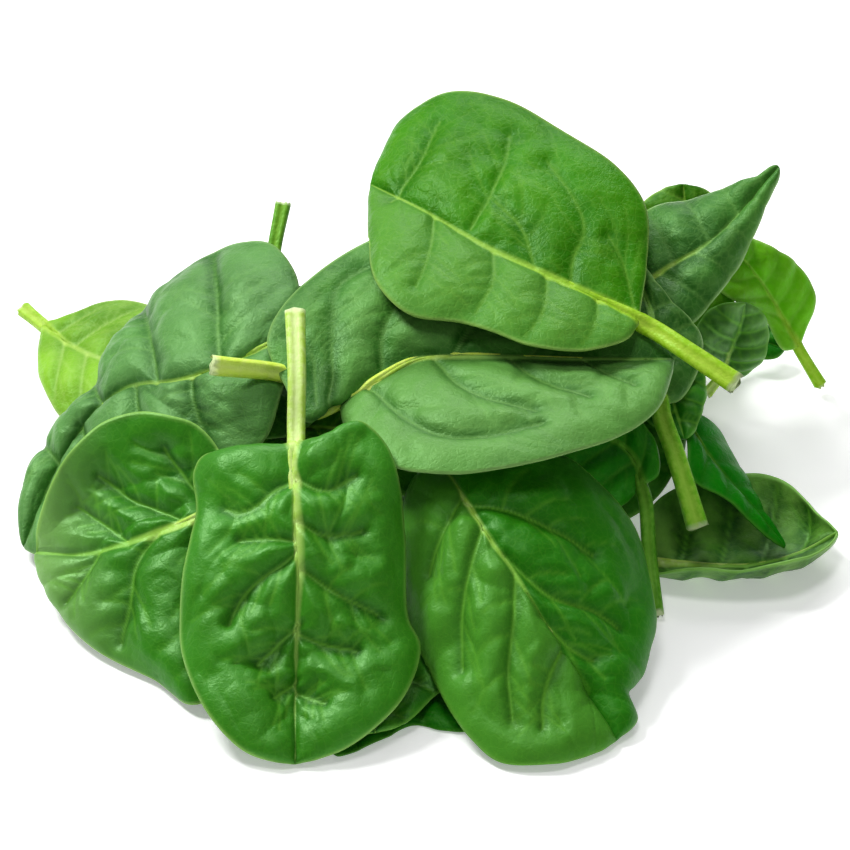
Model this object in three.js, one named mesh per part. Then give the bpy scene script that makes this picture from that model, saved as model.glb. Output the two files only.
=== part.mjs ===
// A loose bunch of spinach leaves, lying in a heap. Millimetres, +Z up.
import * as THREE from 'three';

// Driving dimensions
const bladeThickness = 0.8;
const clearGap = 0.55;
const floorRest = 0.3;
const restSnap = 1;
const ribHalfWidth = 1.3;
const ribDepth = 1.1;
const tipHalfWidth = 1.6;
const stalkFlatness = 0.78;
const stalkSteps = 4;
const veinsPerSide = 5;
const veinSlant = 0.34;
const veinOffset = 0.42;
const heapMiddle = new THREE.Vector3(0, 10, 0);

// The leaves are laid out as a person sees them who stands in front of the heap and looks down this steeply.
// A place is [across, up, height]: right of the middle, up in that view, and above the table.
const lookDown = THREE.MathUtils.degToRad(35);
const sinLook = Math.sin(lookDown);
const cosLook = Math.cos(lookDown);

// How the settling works
const cellSize = 0.5;
const viewHalfWidth = 104;
const viewLow = -56;
const viewHigh = 116;
const samplesPerEdge = 5;
const settlePasses = 70;
const settleDecay = 0.985;

const grids = {
  large: { rows: 12, strips: 4 },
  small: { rows: 7, strips: 3 },
};

// Each leaf: rib from base to tip, the two margins from base to tip, and the stalk from base to cut end.
// left and right are taken from the base, looking to the tip with the upper face towards the eye.
// puff raises each half between rib and margin, pucker is the height of the blisters between the veins.
const leaves = [
  {
    name: 'inner_leaf_low', grid: 'small', colour: 0x2f7a1e,
    rib: [[-30, 6, 3], [-12, 12, 4], [8, 17, 4], [30, 20, 3]],
    left: [[-27, 18, 4], [-10, 30, 6], [12, 34, 6], [28, 29, 4]],
    right: [[-28, -3, 2], [-10, -6, 3], [12, -2, 3], [28, 9, 2]],
    stalk: [[-44, 2, 2]], stalkWidth: 3.4, puff: [2, 2], pucker: 0.9, wave: 0.8,
  },
  {
    name: 'inner_leaf_back', grid: 'small', colour: 0x3d8a2a,
    rib: [[14, 47, 31], [14, 57, 30], [13, 62, 22], [12, 60, 11], [11, 56, 2.5]],
    left: [[8, 46, 31], [-4, 50, 29], [-8, 59, 22], [-6, 61, 12], [2, 57, 4.5]],
    right: [[20, 46, 31], [32, 50, 29], [35, 59, 21], [32, 60, 11], [22, 57, 4]],
    stalk: [[14, 40, 29]], stalkWidth: 3.4, puff: [2, 2], pucker: 1.2, wave: 1.2,
  },
  {
    name: 'inner_leaf_back_right', grid: 'small', colour: 0x3b8528,
    rib: [[40, 42, 22], [43, 52, 23], [46, 56, 16], [48, 53, 7], [49, 51, 2.5]],
    left: [[35, 42, 22], [28, 50, 20], [28, 55, 14], [34, 53, 7], [42, 51, 3.5]],
    right: [[46, 42, 22], [54, 47, 19], [57, 52, 12], [56, 51, 6], [52, 50, 3]],
    stalk: [[38, 36, 21]], stalkWidth: 3, puff: [1.5, 1.5], pucker: 1, wave: 1,
  },
  {
    name: 'inner_leaf_back_left', grid: 'small', colour: 0x3b8528,
    rib: [[-28, 40, 27], [-34, 50, 27], [-39, 54, 20], [-43, 50, 10], [-46, 46, 2.5]],
    left: [[-33, 38, 27], [-44, 42, 24], [-52, 47, 17], [-54, 46, 9], [-50, 45, 3.5]],
    right: [[-23, 42, 27], [-19, 50, 24], [-22, 55, 16], [-30, 52, 8], [-40, 48, 3]],
    stalk: [[-24, 34, 25]], stalkWidth: 3.2, puff: [1.5, 1.5], pucker: 1.1, wave: 1,
  },
  {
    name: 'inner_leaf_left', grid: 'small', colour: 0x39822a,
    rib: [[-36, 24, 12], [-48, 26, 15], [-60, 25, 13], [-72, 20, 5]],
    left: [[-38, 14, 9], [-50, 10, 8], [-62, 10, 5], [-70, 14, 3]],
    right: [[-38, 36, 16], [-50, 40, 18], [-62, 37, 13], [-71, 29, 6]],
    stalk: [[-24, 20, 8]], stalkWidth: 3.2, puff: [2, 2], pucker: 0.9, wave: 0.8,
  },
  {
    name: 'floor_leaf_front', grid: 'small', colour: 0x1f5a14,
    rib: [[6, -20, 2], [0, -27, 1.5], [-8, -32, 1], [-21, -39, 1]],
    left: [[8, -27, 1.5], [9.5, -36, 1], [4, -36, 1], [-2, -35, 1], [-10, -38.5, 1], [-19, -41.5, 1]],
    right: [[1, -14, 3], [-10, -18, 3], [-20, -24, 2.5], [-27, -34, 1.5]],
    stalk: [[12, -14, 3]], stalkWidth: 3, puff: [1, 1], pucker: 0.6, wave: 0.3,
  },
  {
    name: 'floor_leaf_left', grid: 'small', colour: 0x1f5a14,
    rib: [[-60, -8, 3], [-54, -16, 2], [-48, -26, 1.2], [-43, -34, 1]],
    left: [[-52, -5, 3], [-42, -11, 3], [-37, -22, 2], [-37, -32, 1.2]],
    right: [[-66, -11, 2], [-62, -18, 1.2], [-51, -28, 1]],
    stalk: [[-65, 1, 3]], stalkWidth: 3, puff: [1, 1], pucker: 0.6, wave: 0.3,
  },
  {
    name: 'floor_leaf_centre', grid: 'small', colour: 0x2f8a1c,
    rib: [[-2, -1, 6], [-4, -12, 5], [-7, -24, 3.5], [-11, -36.5, 2]],
    left: [[6, -3, 6], [12, -13, 6], [10, -23, 5], [3, -28, 4], [-4, -34.5, 2.5]],
    right: [[-12, -3, 6], [-20, -12, 5], [-22, -25, 3.5], [-18, -37, 2]],
    stalk: [[1, 9, 5]], stalkWidth: 3.2, puff: [1.5, 1.5], pucker: 0.8, wave: 0.5,
  },
  {
    name: 'inner_leaf_middle', grid: 'small', colour: 0x2c7a1c,
    rib: [[22, 30, 18], [8, 31, 22], [-6, 33, 25], [-20, 37, 26]],
    left: [[24, 18, 12], [8, 14, 15], [-8, 16, 18], [-20, 26, 22]],
    right: [[22, 42, 22], [8, 48, 26], [-8, 50, 29], [-20, 46, 29]],
    stalk: [[32, 28, 14]], stalkWidth: 3.2, puff: [2, 2], pucker: 1, wave: 0.8,
  },
  {
    name: 'inner_leaf_upper', grid: 'small', colour: 0x3d8a2a,
    rib: [[40, 48, 34], [26, 54, 38], [10, 62, 42], [-4, 72, 45]],
    left: [[34, 42, 32], [20, 44, 34], [4, 50, 37], [-8, 62, 41]],
    right: [[43, 57, 37], [36, 68, 42], [22, 78, 46], [6, 81, 47]],
    stalk: [[52, 43, 30]], stalkWidth: 3.2, puff: [2, 2], pucker: 0.9, wave: 0.8,
  },
  {
    name: 'inner_leaf_right', grid: 'small', colour: 0x2c7a1c,
    rib: [[34, 16, 8], [40, 24, 13], [46, 32, 18], [52, 41, 22]],
    left: [[26, 20, 10], [27, 30, 16], [34, 39, 21], [44, 43, 23]],
    right: [[40, 8, 4], [51, 14, 8], [57, 24, 14], [57, 34, 19]],
    stalk: [[30, 8, 4]], stalkWidth: 3.2, puff: [2, 2], pucker: 0.9, wave: 0.8,
  },
  {
    name: 'floor_lobe_right', grid: 'small', colour: 0x2a6d1e,
    rib: [[58, 50, 3], [66, 50, 4], [74, 49, 5], [80.5, 47, 4]],
    left: [[61, 54, 5], [69, 55, 7], [77, 52, 6]],
    right: [[61, 46, 2], [69, 45, 2], [77, 44.5, 3]],
    stalk: [[51, 50, 2]], stalkWidth: 2.4, puff: [1, 1], pucker: 0.5, wave: 0.5,
  },
  {
    name: 'far_left_leaf', grid: 'small', colour: 0x8fc043,
    rib: [[-85, 51.8, 10], [-78.5, 47, 11.5], [-68, 43, 13], [-55, 40, 12]],
    left: [[-82, 53.5, 12], [-73, 57, 14], [-61, 56.5, 15], [-54, 49, 14]],
    right: [[-86.5, 46, 9], [-85.5, 39.5, 8], [-79.5, 31, 6], [-68, 29, 6], [-58, 33, 9]],
    stalk: [[-90.2, 56, 9]], stalkWidth: 3.4, puff: [1.5, 1.5], pucker: 0.6, wave: 0.6,
  },
  {
    name: 'notch_leaf', grid: 'small', colour: 0x4f9d22,
    rib: [[-45, 25, 25], [-33, 28.5, 29], [-20, 29, 31], [-7, 26, 30]],
    left: [[-41, 33, 29], [-29, 38, 32], [-16, 37, 33], [-8, 32, 32]],
    right: [[-41, 19, 22], [-29, 19, 25], [-14, 18, 26]],
    stalk: [[-55, 20, 20]], stalkWidth: 3, puff: [1.5, 1.5], pucker: 0.7, wave: 0.5,
  },
  {
    name: 'stalk_up_leaf', grid: 'small', colour: 0x3b7f33,
    rib: [[-34, 61, 41], [-36, 52, 37], [-38, 40, 31], [-41, 27, 24]],
    left: [[-27, 60, 41], [-19, 51, 37], [-19, 39, 31], [-28, 28, 25]],
    right: [[-41, 61, 40], [-52, 51, 34], [-55, 39, 28], [-49, 29, 24]],
    stalk: [[-33.5, 68, 45], [-31.5, 79, 51]], stalkWidth: 3.3, puff: [1.5, 1.5], pucker: 0.7, wave: 0.5,
  },
  {
    name: 'back_right_leaf', grid: 'small', colour: 0x6cab45,
    rib: [[59, 50, 28], [59, 61, 34], [58.5, 73, 42], [57.5, 83.5, 49]],
    left: [[51, 55, 31], [46, 66, 37], [48, 78, 44], [53, 82.5, 48]],
    right: [[67, 54, 31], [70, 65, 37], [68, 76, 43], [63, 82, 47]],
    stalk: [[60, 42, 23]], stalkWidth: 2.8, puff: [1.5, 1.5], pucker: 0.5, wave: 0.4,
  },
  {
    name: 'right_leaf', grid: 'large', colour: 0x5aa02a,
    rib: [[83, 48, 13], [78.5, 56, 22], [73, 64, 32], [66, 72, 41]],
    left: [[80, 47, 13], [76.5, 53, 19], [72, 56, 24], [65, 60, 30], [62, 67, 36]],
    right: [[85, 52, 17], [87, 59, 24], [84.5, 64, 29], [78, 69, 35], [71, 72, 39]],
    stalk: [[86, 43, 7], [88.6, 38.8, 2.4]], stalkWidth: 2.8, puff: [1.6, 1.6], pucker: 0.7, wave: 0.6,
  },
  {
    name: 'small_crumpled_leaf', grid: 'large', colour: 0x3f8a3a,
    rib: [[66, 41.5, 8], [68, 47, 16], [70, 52, 22], [71, 57, 27]],
    left: [[61, 42, 9], [59, 47, 15], [61, 53, 22], [65, 56.5, 26]],
    right: [[71, 41, 9], [75, 43.5, 13], [76.5, 49, 19], [75, 55, 25]],
    stalk: [[63, 37, 3]], stalkWidth: 2.4, puff: [1.5, 1.5], pucker: 1.2, wave: 0.9,
  },
  {
    name: 'pointed_leaf', grid: 'large', colour: 0x55904e,
    rib: [[45, 58, 40], [53, 64, 44], [64, 71, 49], [78.5, 87, 57]],
    left: [[42, 64, 43], [44, 73, 46], [51, 78, 49], [60, 80, 51], [68, 83, 54], [74, 85.3, 56]],
    right: [[50, 53, 38], [56, 51, 38], [61, 54, 39], [66, 60.5, 42], [73, 72.5, 49], [76.5, 80.5, 54]],
    stalk: [[37, 54, 36]], stalkWidth: 3, puff: [2, 2], pucker: 0.7, wave: 0.5,
  },
  {
    name: 'boat_leaf', grid: 'large', colour: 0x2f7f22,
    rib: [[47, 0, 2], [60, -1, 0.6], [72, -1, 0.6], [83, 2, 2], [90.6, 6.4, 7]],
    left: [[50, 12, 6], [60, 17.5, 8], [71, 19.3, 9], [80.5, 16.7, 9], [86.5, 10.5, 8]],
    right: [[50, -2.5, 5], [60, -2, 8], [70.5, -1.3, 9], [80, -0.5, 9], [87.5, 2.8, 8]],
    stalk: [[38, 2, 2.5]], stalkWidth: 3, puff: [-3, -3], pucker: 0.6, wave: 0.6,
  },
  {
    name: 'leaning_leaf', grid: 'small', colour: 0x236b16,
    rib: [[57, 31, 26], [64, 21, 20], [71, 13, 13.5], [79, 3, 6]],
    left: [[60.5, 32, 24], [64.5, 29, 20], [67.5, 24.5, 17], [70.5, 19, 14], [73, 13.5, 11], [76.5, 7.5, 8]],
    right: [[57.5, 26.5, 25], [58.5, 18.5, 21], [66, 13.5, 17], [70.5, 9.7, 13.5], [75, 5.5, 10]],
    stalk: [[50, 37, 27]], stalkWidth: 2.8, puff: [1, 1], pucker: 0.4, wave: 0.3,
  },
  {
    name: 'small_shade_leaf', grid: 'small', colour: 0x3c8b33,
    rib: [[50, 50, 32], [53, 42, 29], [55, 34, 26], [57, 27, 22]],
    left: [[57, 48, 32], [61.5, 41, 29], [61.5, 35, 26], [60, 30, 23.5]],
    right: [[45, 44, 29], [45, 36, 26], [51, 29, 22]],
    stalk: [[46, 56, 33]], stalkWidth: 2.6, puff: [1, 1], pucker: 0.5, wave: 0.4,
  },
  {
    name: 'under_stalk_leaf', grid: 'small', colour: 0x1f6412,
    rib: [[47.4, 16.5, 21], [45.2, 23, 25], [37, 28.5, 29], [22, 31, 32]],
    left: [[44, 13, 18], [35, 10, 20], [24, 14, 25], [16, 22, 29]],
    right: [[51, 19, 22], [50, 27, 26], [42, 34, 30], [28, 38, 33]],
    stalk: [[49, 3, 11], [50.4, -11.5, 2.3]], stalkWidth: 3.4, puff: [1.5, 1.5], pucker: 0.6, wave: 0.5,
  },
  {
    name: 'hanging_stalk_leaf', grid: 'large', colour: 0x6c9c5c,
    rib: [[51.7, 35, 29], [50.7, 43, 34], [50, 53, 40], [46, 66, 47]],
    left: [[46, 37, 31], [40, 45, 35], [37, 55, 40], [40, 63, 45]],
    right: [[56, 35.5, 29], [60, 42, 32], [61, 47, 34], [59.5, 51.5, 37], [55, 56.5, 41], [50, 62.5, 45.5]],
    stalk: [[54.7, 24.6, 22], [59.9, 7.5, 9.5]], stalkWidth: 4.6, puff: [1.6, 1.6], pucker: 0.6, wave: 0.4,
  },
  {
    name: 'left_leaf', grid: 'large', colour: 0x4f9154,
    rib: [[-34, 47, 42], [-46, 41.5, 39], [-55, 39, 35], [-65, 38, 29], [-72, 33, 23], [-81, 20, 12],
      [-88, 3, 3]],
    left: [[-31, 43, 40], [-32, 35, 37], [-35, 27, 33], [-44, 19, 27], [-56, 12, 19], [-69, 6, 11],
      [-80, 1, 5]],
    right: [[-30, 54, 44], [-28, 61, 46], [-35, 70, 47], [-46, 68.5, 43], [-59, 58, 32], [-66, 48, 26],
      [-72, 38, 21], [-80, 30, 15], [-85, 23, 11], [-88.5, 12, 6]],
    stalk: [[-24, 51, 40]], stalkWidth: 3.4, puff: [2.6, 2.6], pucker: 1.5, wave: 0.7,
  },
  {
    name: 'front_left_leaf', grid: 'large', colour: 0x3f9230,
    rib: [[-45, 11, 27], [-54, 7, 22], [-64, 3.5, 17], [-74, 1, 12], [-85.3, 1.5, 8]],
    left: [[-41, 3, 23], [-39, -12, 12], [-41, -25, 4], [-49, -31, 1.5], [-58, -25.5, 1.5], [-69, -20.5, 1.5],
      [-77, -14, 2.5], [-82, -7, 4]],
    right: [[-43, 19, 32], [-45, 25, 35], [-50, 30.3, 38], [-55, 32, 38], [-62, 32.8, 37], [-71, 30.5, 34],
      [-77.5, 24.5, 29], [-82, 16.5, 22], [-85, 8, 14]],
    stalk: [[-36, 14, 28]], stalkWidth: 3.4, puff: [1.6, -3], pucker: 1.2, wave: 0.6,
  },
  {
    name: 'front_right_leaf', grid: 'large', colour: 0x37881d,
    rib: [[2.5, 22, 31], [8, 14.5, 31], [12, 7, 29], [20, -5.3, 23], [26.5, -16, 16], [35, -30.5, 4.5],
      [41, -38.3, 1]],
    left: [[16, 23, 33], [30.5, 22, 30], [38, 16, 26], [45.5, 6.5, 19], [49, -9, 9.5], [49.3, -14.5, 7],
      [46.5, -24, 4.5], [43.3, -28.2, 4.5], [45.5, -33.5, 2]],
    right: [[2, 19, 29], [-3, 15.5, 27], [-5, 4.5, 20], [-3, -11.5, 13], [3, -26, 7], [10, -38, 2.5],
      [16.5, -43, 1], [27.5, -43, 1.5], [36, -40.8, 1]],
    stalk: [[-3, 27, 31], [-10, 32, 30]], stalkWidth: 3.4, puff: [3.5, 3.5], pucker: 1.8, wave: 0.6,
  },
  {
    name: 'centre_leaf', grid: 'large', colour: 0x639a57,
    rib: [[-19.5, 35, 37], [-11, 39, 39], [-1, 44, 41], [10, 44.5, 42], [30, 44, 42], [54.5, 44, 40]],
    left: [[-23, 32, 37], [-26.5, 30.5, 37.5], [-30.5, 38, 39], [-34.5, 47.5, 42], [-31, 56, 45],
      [-23, 64, 48], [-12, 70, 50], [2, 74, 50], [17, 71, 49], [32, 63, 47], [46, 53, 43]],
    right: [[-17, 29, 37], [-13, 24, 37], [-7, 20.4, 38], [5.5, 19.3, 40], [22.7, 21, 41], [38, 25.5, 41],
      [50, 32.5, 40]],
    stalk: [[-29, 40.5, 33], [-46.5, 43, 38]], stalkWidth: 4.2, puff: [2.2, 1.6], pucker: 1.1, wave: 0.5,
  },
  {
    name: 'front_centre_leaf', grid: 'large', colour: 0x2f8a1c,
    rib: [[-28, 25, 40], [-27.5, 9, 33], [-27, -3.5, 25], [-27.5, -12, 19], [-28, -26, 9], [-28, -43, 1]],
    left: [[-25, 26, 40.5], [-19.5, 27.5, 42], [-14, 30.3, 43], [-8.5, 25, 38], [-6, 16, 32], [-5, 5, 26],
      [-4, -12, 17], [-1.5, -18.5, 13], [-5.5, -30, 8], [-16, -39, 3]],
    right: [[-31, 24.5, 40], [-39, 24.6, 39], [-48, 23, 37], [-49.8, 20, 35], [-49, 11, 30], [-52, -3.5, 22],
      [-52.5, -17, 14], [-48, -30.5, 8], [-39.5, -40, 3]],
    stalk: [[-28, 40, 48], [-28.5, 54.8, 54]], stalkWidth: 4.2, puff: [2.4, 2.4], pucker: 1.9, wave: 0.6,
  },
  {
    name: 'top_leaf', grid: 'large', colour: 0x6db52f,
    rib: [[46.6, 52.7, 53], [32, 60, 57], [15, 68, 60], [-2, 78, 61], [-12, 83, 59]],
    left: [[43.6, 48.3, 53], [33, 46, 54], [23, 47, 55], [8.5, 52, 56], [-3, 54, 57], [-10, 60, 58],
      [-12.2, 70, 58]],
    right: [[48.5, 65, 57], [48.5, 78, 62], [42, 87, 66], [32, 94, 68], [18, 102, 69], [5, 103.5, 68],
      [-5, 98, 64], [-9, 91, 61]],
    stalk: [[57, 46.4, 51.5], [68, 39, 48.5]], stalkWidth: 4.6, puff: [1.6, 1.6], pucker: 0.9, wave: 0.4,
  },
];

// Turns [across, up, height] into across, up and nearness to the eye.
function seen([across, up, height]) {
  return new THREE.Vector3(across, up, (height - up * cosLook) / sinLook);
}

// Turns across, up and nearness into the heap's own x, y and z.
function placed(point) {
  return new THREE.Vector3(
    point.x,
    point.y * sinLook - point.z * cosLook,
    point.y * cosLook + point.z * sinLook,
  );
}

function curveThrough(points) {
  return new THREE.CatmullRomCurve3(points, false, 'centripetal');
}

// The rib and the two margins of one leaf, as curves from base to tip.
function leafCurves(leaf) {
  const rib = leaf.rib.map(seen);
  const left = leaf.left.map(seen);
  const right = leaf.right.map(seen);
  const baseSide = right[0].clone().sub(left[0]).normalize();
  const tipSide = right.at(-1).clone().sub(left.at(-1)).normalize();
  const base = rib[0];
  const tip = rib.at(-1);
  const besides = (place, side, distance) => place.clone().addScaledVector(side, distance);
  return {
    rib: curveThrough(rib),
    left: curveThrough([
      besides(base, baseSide, -ribHalfWidth), ...left, besides(tip, tipSide, -tipHalfWidth),
    ]),
    right: curveThrough([
      besides(base, baseSide, ribHalfWidth), ...right, besides(tip, tipSide, tipHalfWidth),
    ]),
  };
}

// The blisters between the side veins, the wave of the margin and the puff of a half, which is 0 left or 1 right.
function relief(leaf, order, along, across, half) {
  const vein = (along - veinSlant * across * (1 - along)) * veinsPerSide + 0.37 * order + veinOffset * half;
  const cell = 0.5 - 0.5 * Math.cos(2 * Math.PI * vein);
  const inside = Math.sin(Math.PI * Math.min(1, across)) * Math.sin(Math.PI * along) ** 0.5;
  const blister = leaf.pucker * (cell - 0.35) * inside;
  const wave = leaf.wave * Math.sin(2 * Math.PI * (2.5 * along + 0.29 * order)) * across ** 3
    * Math.sin(Math.PI * along);
  return leaf.puff[half] * 4 * across * (1 - across) * Math.sin(Math.PI * along) ** 0.4 + blister + wave;
}

// The leaf's middle surface as rows of points, before it settles on what lies under it.
function bladeRows(leaf, order) {
  const { rows, strips } = grids[leaf.grid];
  const curves = leafCurves(leaf);
  const result = [];
  for (let row = 0; row <= rows; row += 1) {
    const along = row / rows;
    const middle = curves.rib.getPointAt(along);
    const edges = [curves.left.getPointAt(along), curves.right.getPointAt(along)];
    const tangent = curves.rib.getTangentAt(along);
    const side = edges[1].clone().sub(edges[0]).normalize();
    const normal = side.clone().cross(tangent).normalize();
    const line = [];
    for (let column = -strips; column <= strips; column += 1) {
      const edge = edges[column < 0 ? 0 : 1];
      const reach = edge.clone().sub(middle);
      const ribShare = Math.min(0.3, ribHalfWidth * (1 - 0.6 * along) / Math.max(reach.length(), 0.1));
      const step = Math.abs(column);
      const across = step < 2 ? step * ribShare : ribShare + (1 - ribShare) * (step - 1) / (strips - 1);
      const point = middle.clone().addScaledVector(reach, across);
      point.addScaledVector(normal, relief(leaf, order, along, across, column < 0 ? 0 : 1));
      line.push(point);
    }
    result.push(line);
  }
  return result;
}

function stalkLine(leaf, rows) {
  const start = rows[0][(rows[0].length - 1) / 2];
  const ahead = rows[1][(rows[0].length - 1) / 2];
  const reach = start.distanceTo(seen(leaf.stalk[0])) * 0.3;
  const leaving = start.clone().add(start.clone().sub(ahead).setLength(reach));
  return curveThrough([start, leaving, ...leaf.stalk.map(seen)]).getSpacedPoints(stalkSteps);
}

// What already lies in the heap: for each cell of the view, the nearest middle surface to the eye.
const columnsAcross = Math.ceil(2 * viewHalfWidth / cellSize);
const rowsUp = Math.ceil((viewHigh - viewLow) / cellSize);
const heap = new Float64Array(columnsAcross * rowsUp).fill(-Infinity);

function cellOf(point) {
  return [Math.floor((point.x + viewHalfWidth) / cellSize), Math.floor((point.y - viewLow) / cellSize)];
}

// How near to the eye a point has to be so that a ball of the given radius clears all that lies below it.
function nearestAllowed(point, radius) {
  const [column, row] = cellOf(point);
  const reach = Math.ceil(radius / cellSize);
  let allowed = -Infinity;
  for (let down = -reach; down <= reach; down += 1) {
    for (let over = -reach; over <= reach; over += 1) {
      const place = heap[(row + down) * columnsAcross + column + over];
      const flat = Math.max(0, Math.hypot(down, over) - 0.5) * cellSize;
      if (place !== undefined && flat < radius) {
        allowed = Math.max(allowed, place + Math.sqrt(radius * radius - flat * flat));
      }
    }
  }
  const floor = (floorRest + radius - bladeThickness - clearGap - point.y * cosLook) / sinLook;
  return Math.max(allowed, floor);
}

function mark(point, above) {
  const [column, row] = cellOf(point);
  const index = row * columnsAcross + column;
  heap[index] = Math.max(heap[index], point.z + above);
}

// Every sample on the leaf is a weighted mix of a few of its points.
function samplesOf(rows, stalk, stalkRadius) {
  const columns = rows[0].length;
  const samples = [];
  const spread = (corners) => {
    for (let first = 0; first <= samplesPerEdge; first += 1) {
      for (let second = 0; second <= samplesPerEdge - first; second += 1) {
        const weights = [first, second, samplesPerEdge - first - second].map((part) => part / samplesPerEdge);
        samples.push({ corners, weights, radius: bladeThickness + clearGap, above: 0 });
      }
    }
  };
  for (let row = 0; row + 1 < rows.length; row += 1) {
    for (let column = 0; column + 1 < columns; column += 1) {
      const corner = row * columns + column;
      spread([corner, corner + 1, corner + columns + 1]);
      spread([corner, corner + columns + 1, corner + columns]);
    }
  }
  const stalkStart = rows.length * columns;
  for (let step = 0; step + 1 < stalk.length; step += 1) {
    const from = step === 0 ? (columns - 1) / 2 : stalkStart + step - 1;
    for (let part = 0; part <= 2 * samplesPerEdge; part += 1) {
      const share = part / (2 * samplesPerEdge);
      samples.push({
        corners: [from, stalkStart + step],
        weights: [1 - share, share],
        radius: stalkRadius + bladeThickness / 2 + clearGap,
        above: stalkRadius - bladeThickness / 2,
      });
    }
  }
  return samples;
}

function neighboursOf(rows, stalk) {
  const columns = rows[0].length;
  const count = rows.length * columns;
  const neighbours = [];
  for (let index = 0; index < count; index += 1) {
    const near = [];
    if (index >= columns) near.push(index - columns);
    if (index + columns < count) near.push(index + columns);
    if (index % columns > 0) near.push(index - 1);
    if (index % columns < columns - 1) near.push(index + 1);
    neighbours.push(near);
  }
  for (let step = 1; step < stalk.length; step += 1) {
    const before = step === 1 ? (columns - 1) / 2 : count + step - 2;
    neighbours.push(step + 1 < stalk.length ? [before, count + step] : [before]);
  }
  return neighbours;
}

function mixed(points, sample) {
  const point = new THREE.Vector3();
  sample.corners.forEach((corner, index) => point.addScaledVector(points[corner], sample.weights[index]));
  return point;
}

// Lets the leaf sink away from the eye until it first touches the heap or the table, and then brings it towards
// the eye, as little and as smoothly as it takes to lie clear of both.
function settle(rows, stalk, stalkRadius) {
  const points = [...rows.flat(), ...stalk.slice(1)];
  const samples = samplesOf(rows, stalk, stalkRadius);
  const neighbours = neighboursOf(rows, stalk);
  for (const sample of samples) {
    const point = mixed(points, sample);
    sample.need = nearestAllowed(point, sample.radius) - point.z;
    sample.strength = sample.weights.reduce((sum, weight) => sum + weight * weight, 0);
  }
  const drop = Math.max(0, -Math.max(...samples.map((sample) => sample.need)));
  points.forEach((point) => { point.z -= drop; });
  samples.forEach((sample) => { sample.need += drop; });
  let lift = new Array(points.length).fill(0);
  for (let pass = 0; pass < settlePasses; pass += 1) {
    lift = lift.map((value, index) => {
      const near = neighbours[index];
      const mean = near.reduce((sum, other) => sum + lift[other], 0) / near.length;
      return settleDecay * (0.5 * value + 0.5 * mean);
    });
    const push = new Array(points.length).fill(0);
    for (const sample of samples) {
      const { corners, weights, need, strength } = sample;
      const has = corners.reduce((sum, corner, index) => sum + lift[corner] * weights[index], 0);
      const short = Math.max(0, need - has) / strength;
      corners.forEach((corner, index) => {
        push[corner] = Math.max(push[corner], short * weights[index]);
      });
    }
    lift = lift.map((value, index) => value + push[index]);
  }
  points.forEach((point, index) => { point.z += lift[index]; });
  for (const sample of samples) mark(mixed(points, sample), sample.above);
}

// Half the section of a stalk, as [sideways, up] shares of its half width and half height.
const stalkSection = [
  [-1, 0.1], [-0.62, 1], [0, 0.45], [0.62, 1], [1, 0.1], [0.66, -0.85], [0, -1.2], [-0.66, -0.85],
];

function stalkRings(stalk, firstSide, leaf) {
  const rings = [];
  let side = firstSide.clone();
  for (let step = 1; step < stalk.length; step += 1) {
    const next = stalk[Math.min(step + 1, stalk.length - 1)];
    const heading = next.clone().sub(stalk[step - 1]).normalize();
    side = side.addScaledVector(heading, -side.dot(heading)).normalize();
    const up = side.clone().cross(heading).negate();
    const share = step / (stalk.length - 1);
    const halfWidth = leaf.stalkWidth / 2 * (0.82 + 0.18 * share);
    rings.push(stalkSection.map(([across, above]) => stalk[step].clone()
      .addScaledVector(side, across * halfWidth)
      .addScaledVector(up, above * halfWidth * stalkFlatness)));
  }
  return rings;
}

// Joins two closed loops of points by triangles. A loop has the shares of the way round at which its points lie.
function joinLoops(faces, first, firstShares, second, secondShares) {
  let a = 0;
  let b = 0;
  while (a < first.length || b < second.length) {
    const nextA = a < first.length ? (firstShares[a + 1] ?? 1 + firstShares[0]) : Infinity;
    const nextB = b < second.length ? (secondShares[b + 1] ?? 1 + secondShares[0]) : Infinity;
    const atA = first[a % first.length];
    const atB = second[b % second.length];
    if (nextA <= nextB) {
      faces.push(first[(a + 1) % first.length], atA, atB);
      a += 1;
    } else {
      faces.push(atB, second[(b + 1) % second.length], atA);
      b += 1;
    }
  }
}

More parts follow.
